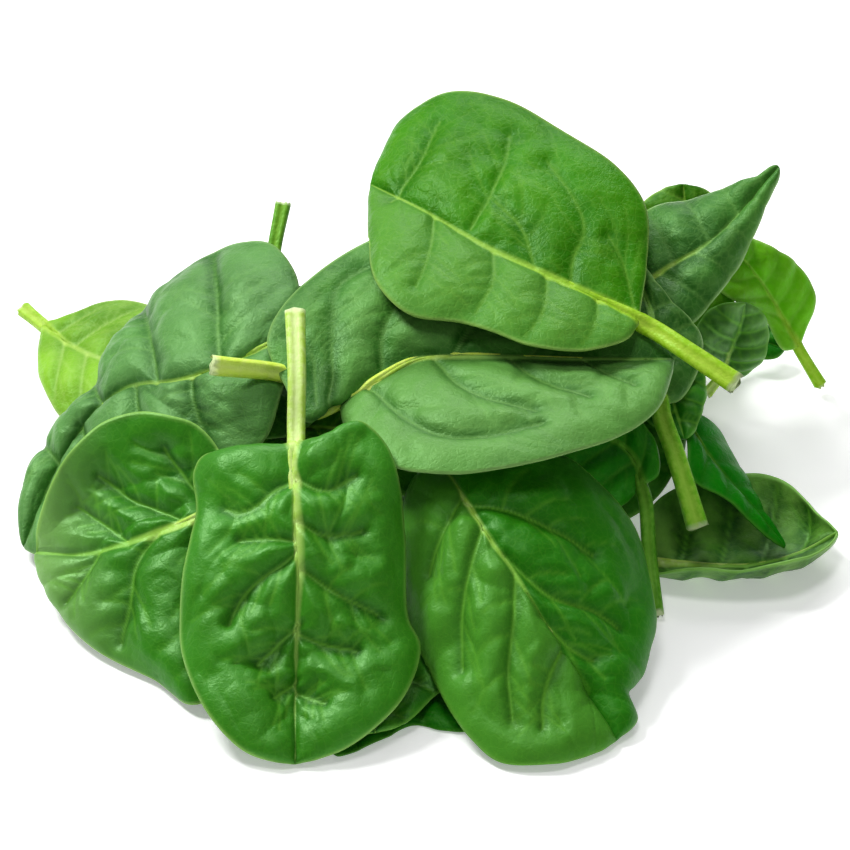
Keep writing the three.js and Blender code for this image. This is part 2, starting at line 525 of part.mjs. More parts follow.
// One closed leaf: upper face, under face with its rib, rims and the stalk with its cut end.
// Where the under face almost meets the table it lies flat on it.
function leafGeometry(leaf, order) {
  const rows = bladeRows(leaf, order);
  const stalk = stalkLine(leaf, rows);
  settle(rows, stalk, leaf.stalkWidth / 2);
  const last = rows.length - 1;
  const width = rows[0].length - 1;
  const points = [];
  const faces = [];
  const add = (point) => points.push(placed(point)) - 1;
  const normalAt = (row, column) => {
    const down = rows[Math.min(row + 1, last)][column].clone().sub(rows[Math.max(row - 1, 0)][column]);
    const over = rows[row][Math.min(column + 1, width)].clone().sub(rows[row][Math.max(column - 1, 0)]);
    return over.cross(down).normalize();
  };
  const top = [];
  const under = [];
  for (let row = 0; row <= last; row += 1) {
    top.push([]);
    under.push([]);
    for (let column = 0; column <= width; column += 1) {
      const normal = normalAt(row, column);
      const rib = column === width / 2 ? ribDepth * (1 - 0.8 * row / last) : 0;
      const middle = rows[row][column];
      top[row].push(add(middle.clone().addScaledVector(normal, bladeThickness / 2)));
      under[row].push(add(middle.clone().addScaledVector(normal, -bladeThickness / 2 - rib)));
    }
  }
  const quad = (a, b, c, d) => faces.push(a, b, c, a, c, d);
  for (let row = 0; row < last; row += 1) {
    for (let column = 0; column < width; column += 1) {
      quad(top[row][column], top[row][column + 1], top[row + 1][column + 1], top[row + 1][column]);
      faces.push(under[row][column], under[row + 1][column + 1], under[row][column + 1]);
      faces.push(under[row][column], under[row + 1][column], under[row + 1][column + 1]);
    }
    quad(top[row][0], top[row + 1][0], under[row + 1][0], under[row][0]);
    quad(top[row + 1][width], top[row][width], under[row][width], under[row + 1][width]);
  }
  for (let column = 0; column < width; column += 1) {
    quad(top[last][column], top[last][column + 1], under[last][column + 1], under[last][column]);
  }
  const baseSide = rows[0][width].clone().sub(rows[0][0]).normalize();
  let loop = [...top[0], ...under[0].toReversed()];
  let shares = loop.map((_, index) => (index + 0.5) / loop.length);
  const ringShares = stalkSection.map((_, index) => index / stalkSection.length);
  for (const ring of stalkRings(stalk, baseSide, leaf)) {
    const next = ring.map(add);
    joinLoops(faces, loop, shares, next, ringShares);
    loop = next;
    shares = ringShares;
  }
  const end = add(stalk.at(-1));
  loop.forEach((point, index) => faces.push(end, loop[(index + 1) % loop.length], point));
  for (const point of points) point.z = Math.max(point.z, 0);
  for (const index of under.flat()) {
    if (points[index].z < restSnap) points[index].z = 0;
  }
  const geometry = new THREE.BufferGeometry();
  const places = points.flatMap((point) => point.toArray());
  geometry.setAttribute('position', new THREE.Float32BufferAttribute(places, 3));
  geometry.setIndex(faces);
  return geometry;
}

const bunch = new THREE.Group();
leaves.forEach((leaf, order) => {
  const material = new THREE.MeshStandardMaterial({ color: leaf.colour, roughness: 0.5, metalness: 0 });
  const mesh = new THREE.Mesh(leafGeometry(leaf, order), material);
  mesh.name = leaf.name;
  bunch.add(mesh);
});

// The origin is on the table under the middle of the heap.
for (const mesh of bunch.children) mesh.geometry.translate(-heapMiddle.x, -heapMiddle.y, 0);

export default bunch;
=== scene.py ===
# A loose bunch of spinach leaves, lying in a heap on a pale table.
# The leaves are laid out in millimetres and everything is put into metres at the end.
import math
import bpy
import numpy as np
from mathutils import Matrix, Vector


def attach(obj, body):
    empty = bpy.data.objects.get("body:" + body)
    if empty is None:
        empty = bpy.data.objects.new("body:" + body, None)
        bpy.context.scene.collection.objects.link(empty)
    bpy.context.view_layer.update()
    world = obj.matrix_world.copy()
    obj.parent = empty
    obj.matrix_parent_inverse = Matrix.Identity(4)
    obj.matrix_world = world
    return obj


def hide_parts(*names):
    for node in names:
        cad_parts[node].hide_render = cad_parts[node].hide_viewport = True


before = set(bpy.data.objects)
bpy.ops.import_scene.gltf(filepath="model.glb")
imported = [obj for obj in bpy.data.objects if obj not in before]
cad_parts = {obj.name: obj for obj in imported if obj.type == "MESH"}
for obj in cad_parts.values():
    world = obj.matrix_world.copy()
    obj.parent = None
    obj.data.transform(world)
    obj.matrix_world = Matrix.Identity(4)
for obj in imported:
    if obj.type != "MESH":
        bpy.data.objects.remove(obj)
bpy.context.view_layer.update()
print("frame loaded with", len(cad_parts), "leaves")

# The heap is laid out as seen by a person in front of it who looks down this steeply.
# A place is [across, up, height]: right of the middle, up in that view, and above the table.
heap = {
    "lookDown": 35,         # degrees
    "middle": (0, 10),      # what lies under the middle of the heap is the origin
    "bladeThickness": 0.8,  # of the solid leaves
    "clearGap": 0.55,       # between them
    "floorRest": 0.3,
    "ribHalfWidth": 1.3,
    "tipHalfWidth": 1.6,
    "settlePasses": 70,
    "stalkRings": 5,        # of a solid leaf
    "cell": 0.5,            # of the map of what already lies in the heap
    "viewHalfWidth": 104,
    "viewLow": -56,
    "viewHigh": 116,
}
grids = {"large": (12, 4), "small": (7, 3)}  # rows and strips of the solid leaves
# The leaves that are shown, in millimetres.
fine = {
    "grids": {"near": (144, 116), "beside": (80, 64), "hidden": (50, 40)},  # rows and columns
    "thickness": 0.45,
    "gap": 0.2,
    "floorGap": 0.1,
    "clearPasses": 40,
    "stalkSides": 20,
    "stalkRings": 27,
    "tipLength": 2.2,       # over which the tip is rounded off
    "padReach": 3.4,        # how far out from a side vein a pad rises
    "smallPadReach": 1.3,   # and from a finer vein
    "crumpleSizes": (9, 4.6, 3.1),
    "frillSize": 6,
    "grooveDepth": 0.14,    # along each side vein
    "grooveWidth": 0.75,
    "veinWidth": 0.45,
    "fineVeinWidth": 0.38,
    # over which shade is painted into the creases along the veins and the midrib
    "creaseShadeWidth": 1.2,
    "rimWidth": 0.5,
}
# The pads and the wave of each leaf, and the side veins between the pads where none are drawn.
layout = {
    "veins": 5,             # in the length of a leaf
    "slant": 0.34,
    "leafShift": 0.37,      # so that no two leaves are alike
    "halfShift": 0.42,      # nor the two halves of one
    "waves": 2.5,
    "waveShift": 0.29,
}
lookDown = math.radians(heap["lookDown"])
sinLook = math.sin(lookDown)
cosLook = math.cos(lookDown)


def seen(places):
    # [across, up, height] to across, up and nearness to the eye
    return np.array([[a, up, (high - up * cosLook) / sinLook] for a, up, high in places])


def placed(points):
    # across, up and nearness to metres in the frame
    x, up, near = points[..., 0], points[..., 1], points[..., 2]
    y = up * sinLook - near * cosLook
    z = up * cosLook + near * sinLook
    return np.stack([x - heap["middle"][0], y - heap["middle"][1], z], axis=-1) / 1000


def unit(vectors):
    return vectors / np.maximum(np.linalg.norm(vectors, axis=-1, keepdims=True), 1e-9)


def fade(distance, width, power=2):
    return np.exp(-(distance / width) ** power)


def curveThrough(points, fineness=40):
    # A smooth curve through the points, returned as a function of the share of its length.
    points = np.asarray(points, float)
    ends = np.vstack([2 * points[0] - points[1], points, 2 * points[-1] - points[-2]])
    gaps = np.maximum(np.sum((ends[1:] - ends[:-1]) ** 2, axis=1) ** 0.25, 1e-4)
    t = np.linspace(0, 1, fineness, endpoint=False)[:, None]
    runs = []
    for index in range(len(points) - 1):
        p0, p1, p2, p3 = ends[index:index + 4]
        g0, g1, g2 = gaps[index:index + 3]
        leave = ((p1 - p0) / g0 - (p2 - p0) / (g0 + g1) + (p2 - p1) / g1) * g1
        reach = ((p2 - p1) / g1 - (p3 - p1) / (g1 + g2) + (p3 - p2) / g2) * g1
        cubic = 2 * p1 - 2 * p2 + leave + reach
        square = -3 * p1 + 3 * p2 - 2 * leave - reach
        runs.append(p1 + leave * t + square * t ** 2 + cubic * t ** 3)
    line = np.vstack(runs + [points[-1:]])
    lengths = np.concatenate([[0], np.cumsum(np.linalg.norm(np.diff(line, axis=0), axis=1))])
    shares = lengths / lengths[-1]

    def at(share):
        return np.stack([np.interp(share, shares, line[:, axis]) for axis in range(3)], axis=-1)
    at.length = lengths[-1]
    return at


def leafCurves(leaf):
    # The rib and both margins, from the base to the tip.
    rib = seen(leaf["rib"])
    curves = [curveThrough(rib)]
    left, right = seen(leaf["left"]), seen(leaf["right"])
    baseSide = heap["ribHalfWidth"] * unit(right[0] - left[0])
    tipSide = heap["tipHalfWidth"] * unit(right[-1] - left[-1])
    for margin, sense in ((left, -1), (right, 1)):
        curves.append(curveThrough(np.vstack([rib[0] + sense * baseSide, margin, rib[-1] + sense * tipSide])))
    return curves


def bulge(along):
    return np.maximum(np.sin(np.pi * along), 0)


def relief(leaf, along, across, half):
    # The pads between the side veins, the wave of the margin and the puff of each half.
    vein = (along - layout["slant"] * across * (1 - along)) * layout["veins"]
    vein = vein + layout["leafShift"] * leaf["order"] + layout["halfShift"] * half
    pad = 0.5 - 0.5 * np.cos(2 * np.pi * vein)
    inside = np.sin(np.pi * np.minimum(1, across)) * bulge(along) ** 0.5
    pads = leaf["pucker"] * (pad - 0.35) * inside * leaf["solidPucker"]
    swell = np.sin(2 * np.pi * (layout["waves"] * along + layout["waveShift"] * leaf["order"]))
    wave = leaf["wave"] * swell * across ** 3 * bulge(along)
    puff = np.where(half == 0, leaf["puff"][0], leaf["puff"][1])
    return puff * 4 * across * (1 - across) * bulge(along) ** 0.4 + pads + wave


def bladeSurface(leaf, alongs, acrosses, roundTip=False):
    # alongs has one share for each row. acrosses has a row of signed shares, left of the rib below zero.
    rib, left, right = leaf["curves"]
    middle = rib(alongs)
    step = 0.004
    tangent = unit(rib(np.minimum(alongs + step, 1)) - rib(np.maximum(alongs - step, 0)))
    lefts, rights = left(alongs), right(alongs)
    normal = unit(np.cross(unit(rights - lefts), tangent))
    reach = np.where(acrosses[..., None] < 0, lefts[:, None], rights[:, None]) - middle[:, None]
    if roundTip:
        length = fine["tipLength"] / rib.length
        late = np.clip((alongs - 1 + length) / length, 0, 1)
        reach = reach * np.sqrt(np.maximum(1 - late ** 2, 0.0001))[:, None, None]
    across = np.abs(acrosses)
    half = (acrosses >= 0).astype(int)
    lift = relief(leaf, np.broadcast_to(alongs[:, None], across.shape), across, half)
    return middle[:, None] + reach * across[..., None] + normal[:, None] * lift[..., None]


def ribShares(leaf, alongs):
    # What share of each half the rib takes up, and how wide each half is.
    rib, left, right = leaf["curves"]
    widths = [np.linalg.norm(edge(alongs) - rib(alongs), axis=1) for edge in (left, right)]
    ribWidth = heap["ribHalfWidth"] * (1 - 0.6 * alongs)
    return [np.minimum(0.3, ribWidth / np.maximum(width, 0.1)) for width in widths], widths


def coarseBlade(leaf):
    rows, strips = grids[leaf["grid"]]
    alongs = np.arange(rows + 1) / rows
    shares = ribShares(leaf, alongs)[0]
    columns = []
    for column in range(-strips, strips + 1):
        share = shares[0 if column < 0 else 1]
        step = abs(column)
        across = step * share if step < 2 else share + (1 - share) * (step - 1) / (strips - 1)
        columns.append(across * (-1 if column < 0 else 1))
    return bladeSurface(leaf, alongs, np.stack(columns, axis=1))


def stalkLine(leaf, rows):
    mid = rows.shape[1] // 2
    start, ahead = rows[0, mid], rows[1, mid]
    stalk = seen(leaf["stalk"])
    leaving = start + unit(start - ahead) * (0.3 * np.linalg.norm(start - stalk[0]))
    return curveThrough(np.vstack([start, leaving, stalk]))


# What already lies in the heap, as the nearest surface to the eye in each cell of the view.
farAway = -1e6
cellsAcross = math.ceil(2 * heap["viewHalfWidth"] / heap["cell"])
cellsUp = math.ceil((heap["viewHigh"] - heap["viewLow"]) / heap["cell"])
solidHeap = np.full((cellsUp, cellsAcross), farAway)
shownHeap = np.full((cellsUp, cellsAcross), farAway)


def cellsOf(points, down=0, over=0):
    # The cells that the points are in, or their neighbours that far down and over.
    column = np.floor((points[:, 0] + heap["viewHalfWidth"]) / heap["cell"]).astype(int)
    row = np.floor((points[:, 1] - heap["viewLow"]) / heap["cell"]).astype(int)
    row, column = np.clip(row, 0, cellsUp - 1) + down, np.clip(column, 0, cellsAcross - 1) + over
    return np.clip(row, 0, cellsUp - 1), np.clip(column, 0, cellsAcross - 1)


def nearestAllowed(surface, points, radius, floorRadius):
    # How near to the eye each point has to be so that a ball of that radius clears all below it.
    steps = math.ceil(np.max(radius) / heap["cell"])
    allowed = np.full(len(points), farAway)
    for down in range(-steps, steps + 1):
        for over in range(-steps, steps + 1):
            flat = max(0, math.hypot(down, over) - 0.5) * heap["cell"]
            ball = np.sqrt(np.maximum(radius ** 2 - flat ** 2, 0))
            touching = surface[cellsOf(points, down, over)] + ball
            allowed = np.maximum(allowed, np.where(flat < radius, touching, farAway))
    return np.maximum(allowed, (floorRadius - points[:, 1] * cosLook) / sinLook)


def mark(surface, points, above):
    np.maximum.at(surface, cellsOf(points), points[:, 2] + above)


def spreadSamples(rowCount, columnCount, stalkCount, stalkRadius):
    # Every sample on a leaf is a weighted mix of a few of its points.
    grain = [(a / 5, b / 5, (5 - a - b) / 5) for a in range(6) for b in range(6 - a)]
    samples = []  # corners, weights, radius, height above the middle of the blade
    bladeRadius = heap["bladeThickness"] + heap["clearGap"]
    for row in range(rowCount - 1):
        for column in range(columnCount - 1):
            corner = row * columnCount + column
            beside, below, across = corner + 1, corner + columnCount, corner + columnCount + 1
            for third in ((beside, across), (across, below)):
                samples += [((corner,) + third, weight, bladeRadius, 0) for weight in grain]
    first = rowCount * columnCount
    halfBlade = heap["bladeThickness"] / 2
    for step in range(stalkCount):
        begin = (columnCount - 1) // 2 if step == 0 else first + step - 1
        for part in range(11):
            samples.append(((begin, first + step, begin), (1 - part / 10, part / 10, 0),
                            stalkRadius + halfBlade + heap["clearGap"], stalkRadius - halfBlade))
    return [np.array(values) for values in zip(*samples)]


def neighboursOf(rowCount, columnCount, stalkCount):
    # For each point, its neighbours, filled up to four with ones that count for nothing.
    count = rowCount * columnCount
    near = []
    for index in range(count):
        column = index % columnCount
        others = (index - columnCount, index + columnCount, index - 1, index + 1)
        fits = (index >= columnCount, index + columnCount < count, column > 0, column < columnCount - 1)
        near.append([other for other, fit in zip(others, fits) if fit])
    for step in range(1, stalkCount + 1):
        before = (columnCount - 1) // 2 if step == 1 else count + step - 2
        near.append([before, count + step] if step < stalkCount else [before])
    share = np.array([[1 / len(around)] * len(around) + [0] * (4 - len(around)) for around in near])
    return np.array([around + [0] * (4 - len(around)) for around in near]), share


def settle(leaf, rows, stalk):
    # Lets the leaf sink away from the eye until it touches the heap or the table, and then brings it
    # towards the eye as smoothly as it takes to lie clear of both. Returns how far each point moved.
    rowCount, columnCount = rows.shape[:2]
    points = np.vstack([rows.reshape(-1, 3), stalk[1:]])
    size = rowCount, columnCount, len(stalk) - 1
    corners, weights, radii, above = spreadSamples(*size, leaf["stalkWidth"] / 2)
    near, share = neighboursOf(*size)
    places = np.einsum("sc,sca->sa", weights, points[corners])
    floorRadius = heap["floorRest"] + radii - heap["bladeThickness"] - heap["clearGap"]
    need = nearestAllowed(solidHeap, places, radii, floorRadius) - places[:, 2]
    drop = max(0, -need.max())
    need = need + drop
    strength = np.sum(weights ** 2, axis=1)
    lift = np.zeros(len(points))
    for settlePass in range(heap["settlePasses"]):
        lift = 0.985 * (0.5 * lift + 0.5 * np.sum(lift[near] * share, axis=1))
        short = np.maximum(0, need - np.sum(lift[corners] * weights, axis=1)) / strength
        push = np.zeros(len(points))
        np.maximum.at(push, corners, short[:, None] * weights)
        lift = lift + push
    lift = lift - drop
    points[:, 2] += lift
    mark(solidHeap, np.einsum("sc,sca->sa", weights, points[corners]), above)
    return lift


def smoothGrid(values, rowAt, columnAt):
    # A smooth surface through a grid of values, read at any fractional row and column.
    def cubic(part):
        return [0.5 * (-part + 2 * part ** 2 - part ** 3), 0.5 * (2 - 5 * part ** 2 + 3 * part ** 3),
                0.5 * (part + 4 * part ** 2 - 3 * part ** 3), 0.5 * (-part ** 2 + part ** 3)]
    lastRow, lastColumn = values.shape[0] - 1, values.shape[1] - 1
    row = np.clip(np.floor(rowAt).astype(int), 0, lastRow - 1)
    column = np.clip(np.floor(columnAt).astype(int), 0, lastColumn - 1)
    total = 0
    for down, rowShare in enumerate(cubic(rowAt - row)):
        for over, columnShare in enumerate(cubic(columnAt - column)):
            place = values[np.clip(row + down - 1, 0, lastRow), np.clip(column + over - 1, 0, lastColumn)]
            total = total + rowShare * columnShare * place
    return total


def crumple(seed, x, y, size):
    # Smooth hills and hollows about this many millimetres across.
    values = np.random.default_rng(seed).uniform(-1, 1, (40, 40))
    return smoothGrid(values, np.mod(x / size + 20, 37) + 1, np.mod(y / size + 20, 37) + 1)


def blisters(seed, x, y, size):
    # Rounded pads with sharp valleys between them, about this many millimetres across.
    return np.abs(crumple(seed, x, y, size)) ** 0.7 - 0.3


def smoothLine(line, rounds=1):
    for turn in range(rounds):
        line = np.vstack([line[:1], (line[:-2] + 2 * line[1:-1] + line[2:]) / 4, line[-1:]])
    return line


def sideVeins(leaf, alongs, acrosses, points):
    # Each side vein as rows and columns on the blade: the drawn ones, or else one at each pad's edge.
    rowPlace, columnPlace = np.arange(len(alongs)), np.arange(len(acrosses))
    flat = points[..., :2].reshape(-1, 2)
    places = []
    for drawn in leaf["veins"]:
        line = curveThrough([[u, v, 0] for u, v in drawn])(np.linspace(0, 1, 24))[:, :2]
        index = np.argmin(np.sum((flat[None] - line[:, None]) ** 2, axis=2), axis=1)
        place = np.stack([index // len(acrosses), index % len(acrosses)], axis=-1).astype(float)
        places.append(smoothLine(place, 6))
    numbers = [] if leaf["veins"] else range(-1, 12)
    for half in (0, 1):
        for number in numbers:
            start = number - layout["leafShift"] * leaf["order"] % 1 - layout["halfShift"] * half
            start = start / layout["veins"]
            if 0.04 < start < 0.9:
                across = np.linspace(0, 0.93, 24)
                along = (start + layout["slant"] * across) / (1 + layout["slant"] * across)
                column = np.interp(across * (1 if half else -1), acrosses, columnPlace)
                places.append(np.stack([np.interp(along, alongs, rowPlace), column], axis=-1))
    return places


def branchesOf(places, leaf, rows, columns):
    # Finer veins that leave the side veins on both sides and bend towards the margin.
    draw = np.random.default_rng(200 + leaf["order"])
    found = []
    for place in places:
        for share in (0.25, 0.45, 0.65, 0.85):
            at = int(share * (len(place) - 1) + draw.uniform(-1.5, 1.5))
            heading = place[min(at + 2, len(place) - 1)] - place[at - 1]
            heading = heading / max(np.hypot(*heading), 0.1)
            sense = 1 if draw.random() < 0.5 else -1
            for turn in (sense, -sense)[:1 if share < 0.4 else 2]:
                angle = turn * draw.uniform(0.6, 1.1)
                bent = np.array([heading[0] * math.cos(angle) - heading[1] * math.sin(angle),
                                 heading[0] * math.sin(angle) + heading[1] * math.cos(angle)])
                steps = np.linspace(0, draw.uniform(0.08, 0.16) * rows, 9)[:, None]
                curl = -turn * 0.012 * steps ** 2 * np.array([[-bent[1], bent[0]]])
                line = place[at] + bent * steps + curl
                if (line > 1).all() and (line[:, 0] < rows - 3).all() and (line[:, 1] < columns - 2).all():
                    found.append(line)
    return found


def distanceTo(lines, points):
    # How far each point of the blade is from the nearest of the lines, given as rows and columns.
    place = points.reshape(-1, 3)
    nearest = np.full(len(place), 99.0)
    for line in lines:
        line = np.stack([smoothGrid(points[..., axis], line[:, 0], line[:, 1]) for axis in range(3)], axis=-1)
        for start, end in zip(line[:-1], line[1:]):
            run = end - start
            share = np.clip((place - start) @ run / max(run @ run, 1e-9), 0, 1)
            away = place - start - share[:, None] * run
            nearest = np.minimum(nearest, np.einsum("pa,pa->p", away, away))
    return np.sqrt(nearest).reshape(points.shape[:2])


def fineBlade(leaf, lift):
    rows, strips = grids[leaf["grid"]]
    fineRows, fineColumns = fine["grids"][leaf["show"]]
    share = np.linspace(0, 1, fineRows + 1)
    alongs = 0.5 * share + 0.5 * np.sin(np.pi / 2 * share)
    step = np.linspace(-1, 1, fineColumns + 1)
    acrosses = step * (0.75 + 0.25 * np.abs(step))
    grid = np.broadcast_to(acrosses, (fineRows + 1, fineColumns + 1))
    along = np.broadcast_to(alongs[:, None], grid.shape)
    across = np.abs(grid)
    shares, widths = ribShares(leaf, alongs)
    ribShare = np.where(grid < 0, shares[0][:, None], shares[1][:, None])
    width = np.where(grid < 0, widths[0][:, None], widths[1][:, None])
    beyondRib = 1 + (across - ribShare) / (1 - ribShare) * (strips - 1)
    column = np.where(across < ribShare, across / ribShare, beyondRib)
    coarse = lift[:(rows + 1) * (2 * strips + 1)].reshape(rows + 1, -1)
    points = bladeSurface(leaf, alongs, grid, roundTip=True)
    points[..., 2] += smoothGrid(coarse, along * rows, strips + np.sign(grid) * column)
    # the pads between the veins, and small crumples
    veins = sideVeins(leaf, alongs, acrosses, points)
    distance = distanceTo(veins, points)
    branchDistance = distanceTo(branchesOf(veins, leaf, len(alongs), len(acrosses)), points)
    ribDistance = across * width
    nearest = np.minimum(distance, ribDistance * leaf["ribSlope"])
    edgeShare = 1 - 0.7 * across ** 8
    calm = np.minimum(1, nearest / 2) * edgeShare
    x, y = along * leaf["curves"][0].length, grid * width
    seed = 11 + leaf["order"]
    large, middling, small = fine["crumpleSizes"]
    height = leaf["quilt"] * (1 - fade(nearest, fine["padReach"])) * edgeShare
    height += leaf["ridge"] * (1 - across) ** 2
    height += 0.3 * leaf["quilt"] * (1 - fade(branchDistance, fine["smallPadReach"])) * calm
    height += leaf["crumple"] * blisters(seed, x, y, large) * calm
    height += 0.3 * leaf["crumple"] * blisters(seed + 20, x, y, middling) * calm
    height += 0.22 * leaf["crumple"] * crumple(seed + 40, x, y, small) * calm
    height += leaf["frill"] * crumple(seed + 80, x, y * 0, fine["frillSize"]) * across ** 4
    height -= fine["grooveDepth"] * fade(distance, fine["grooveWidth"])
    ribHalf = 0.5 * leaf["stalkWidth"] * (0.97 - 0.8 * along ** leaf["ribTaper"])
    ribLift = leaf["ribRise"] * ribHalf * np.exp(-1.2 * (ribDistance / ribHalf) ** 2)
    points = points + surfaceNormals(points) * (height * bulge(along) ** 0.35 + ribLift)[..., None]
    fineVein = 0.5 * fade(branchDistance, fine["fineVeinWidth"])
    masks = {
        "vein": np.maximum(fade(distance, fine["veinWidth"]), fineVein) * (1 - 0.5 * across ** 2),
        # where shade is painted in, along the veins and the midrib
        "creaseShade": fade(np.minimum(distance, ribDistance + 0.3), fine["creaseShadeWidth"]),
        "rib": fade(ribDistance, 0.95 * ribHalf + 0.1, 4) * (1 - 0.35 * along ** 2),
        # which side of the rib, for the painted sheen or lit side on one half
        "half": np.clip(0.5 + grid * width / 2, 0, 1),
        # towards the tip, for a painted highlight there
        "tip": np.clip(2.2 * along - 1.2, 0, 1),
        "rim": fade((1 - across) * width, fine["rimWidth"]),
        # the crests of the pads, where a highlight is painted
        "bump": np.clip(0.5 + height / 3, 0, 1),
        "stalk": fade(ribDistance, ribHalf, 4) * np.clip(1.1 - along / 0.45, 0, 1),
    }
    return points, masks, alongs


def surfaceNormals(points):
    return unit(np.cross(np.gradient(points, axis=1), np.gradient(points, axis=0)))


def clearOf(points, above):
    # Brings fine points towards the eye where they would touch what is shown below them.
    flat = points.reshape(-1, 3)
    radius = np.full(len(flat), fine["thickness"] + fine["gap"])
    need = nearestAllowed(shownHeap, flat, radius, 0.5 * fine["thickness"] + above) - flat[:, 2]
    need = need.reshape(points.shape[:-1])
    lift = np.zeros(need.shape)
    for clearPass in range(fine["clearPasses"]):
        padded = np.pad(lift, 1, mode="edge")
        around = padded[:-2, 1:-1] + padded[2:, 1:-1] + padded[1:-1, :-2] + padded[1:-1, 2:]
        lift = np.maximum(0.97 * (0.4 * lift + 0.15 * around), need)
    result = points.copy()
    result[..., 2] += lift
    return result, lift


def activeOnly(piece):
    bpy.ops.object.select_all(action="DESELECT")
    piece.select_set(True)
    bpy.context.view_layer.objects.active = piece


def pointsOf(mesh):
    flat = np.zeros(len(mesh.vertices) * 3)
    mesh.vertices.foreach_get("co", flat)
    return flat.reshape(-1, 3)


def shapeMesh(mesh, places, masks):
    # Puts the points at their places and keeps each mask on them for the material.
    mesh.vertices.foreach_set("co", places.ravel())
    for name, values in masks.items():
        layer = mesh.attributes.new(name, "FLOAT", "POINT")
        layer.data.foreach_set("value", np.ascontiguousarray(values, dtype=np.float32))
    mesh.update()


def makeBlade(points, masks):
    # A flat grid is laid onto the blade and gets its thickness.
    rowCount, columnCount = points.shape[:2]
    bpy.ops.object.select_all(action="DESELECT")
    bpy.ops.mesh.primitive_grid_add(x_subdivisions=columnCount - 1, y_subdivisions=rowCount - 1, size=2)
    blade = bpy.context.object
    flat = pointsOf(blade.data)
    column = np.rint((flat[:, 0] + 1) / 2 * (columnCount - 1)).astype(int)
    row = np.rint((flat[:, 1] + 1) / 2 * (rowCount - 1)).astype(int)
    shapeMesh(blade.data, placed(points[row, column]), {name: masks[name][row, column] for name in masks})
    wall = blade.modifiers.new("Wall", "SOLIDIFY")
    wall.thickness = fine["thickness"] / 1000
    wall.offset = 0
    wall.use_even_offset = False
    activeOnly(blade)
    bpy.ops.object.modifier_apply(modifier=wall.name)
    return blade


def makeStalk(leaf, line, halfWidths, sinks):
    # A cylinder is cut into short lengths, and its rings are laid along the stalk and on under the midrib.
    rings = len(line)
    bpy.ops.object.select_all(action="DESELECT")
    bpy.ops.mesh.primitive_cylinder_add(vertices=fine["stalkSides"], radius=1, depth=2, end_fill_type="NGON")
    stalk = bpy.context.object
    mesh = stalk.data
    bpy.ops.object.mode_set(mode="EDIT")
    bpy.ops.mesh.select_all(action="DESELECT")
    bpy.ops.mesh.select_mode(type="EDGE")
    bpy.ops.object.mode_set(mode="OBJECT")
    for edge in mesh.edges:
        low, high = (mesh.vertices[index].co.z for index in edge.vertices)
        edge.select = abs(low - high) > 1
    bpy.ops.object.mode_set(mode="EDIT")
    bpy.ops.mesh.subdivide(number_cuts=rings - 2)
    bpy.ops.mesh.select_all(action="DESELECT")
    bpy.ops.object.mode_set(mode="OBJECT")
    flat = pointsOf(mesh)
    ring = np.rint((1 - flat[:, 2]) / 2 * (rings - 1)).astype(int)
    angle = np.arctan2(flat[:, 1], flat[:, 0])
    heading = unit(np.gradient(line, axis=0))
    side = unit(np.cross(heading, np.array([0, 0, 1.0]) + 0 * heading))
    up = unit(np.cross(side, heading))
    # a rounded underside and a channel along the top
    across = np.cos(angle)
    above = np.sin(angle)
    channel = np.where(above > 0, 0.42 * fade(across, 0.42), 0)
    draw = np.random.default_rng(leaf["order"])
    ridges = 1 + 0.035 * np.sin(5 * angle + 6 * draw.random()) + 0.02 * np.sin(9 * angle + 6 * draw.random())
    width = ridges * halfWidths[ring]
    place = line[ring] + side[ring] * (across * width)[:, None]
    place = place + up[ring] * (above * (0.82 - channel) * width - sinks[ring])[:, None]
    ragged = (ring == 0) * draw.uniform(-0.5, 0.5, len(ring))
    world = placed(place + heading[ring] * ragged[:, None])
    world[:, 2] = np.maximum(world[:, 2], fine["floorGap"] / 1000)
    plain = 0 * angle
    shapeMesh(mesh, world, {
        "stalk": plain + 1,
        "vein": np.clip(1 - np.abs(across) * 1.4, 0, 1) * (above > 0),
        "rib": 1 - ring / rings,
        "rim": (ring == 0) * 1.0,
        "bump": plain + 0.5,
        "half": plain + 0.5,
        "creaseShade": plain,
    })
    return stalk


madeLeaves = []


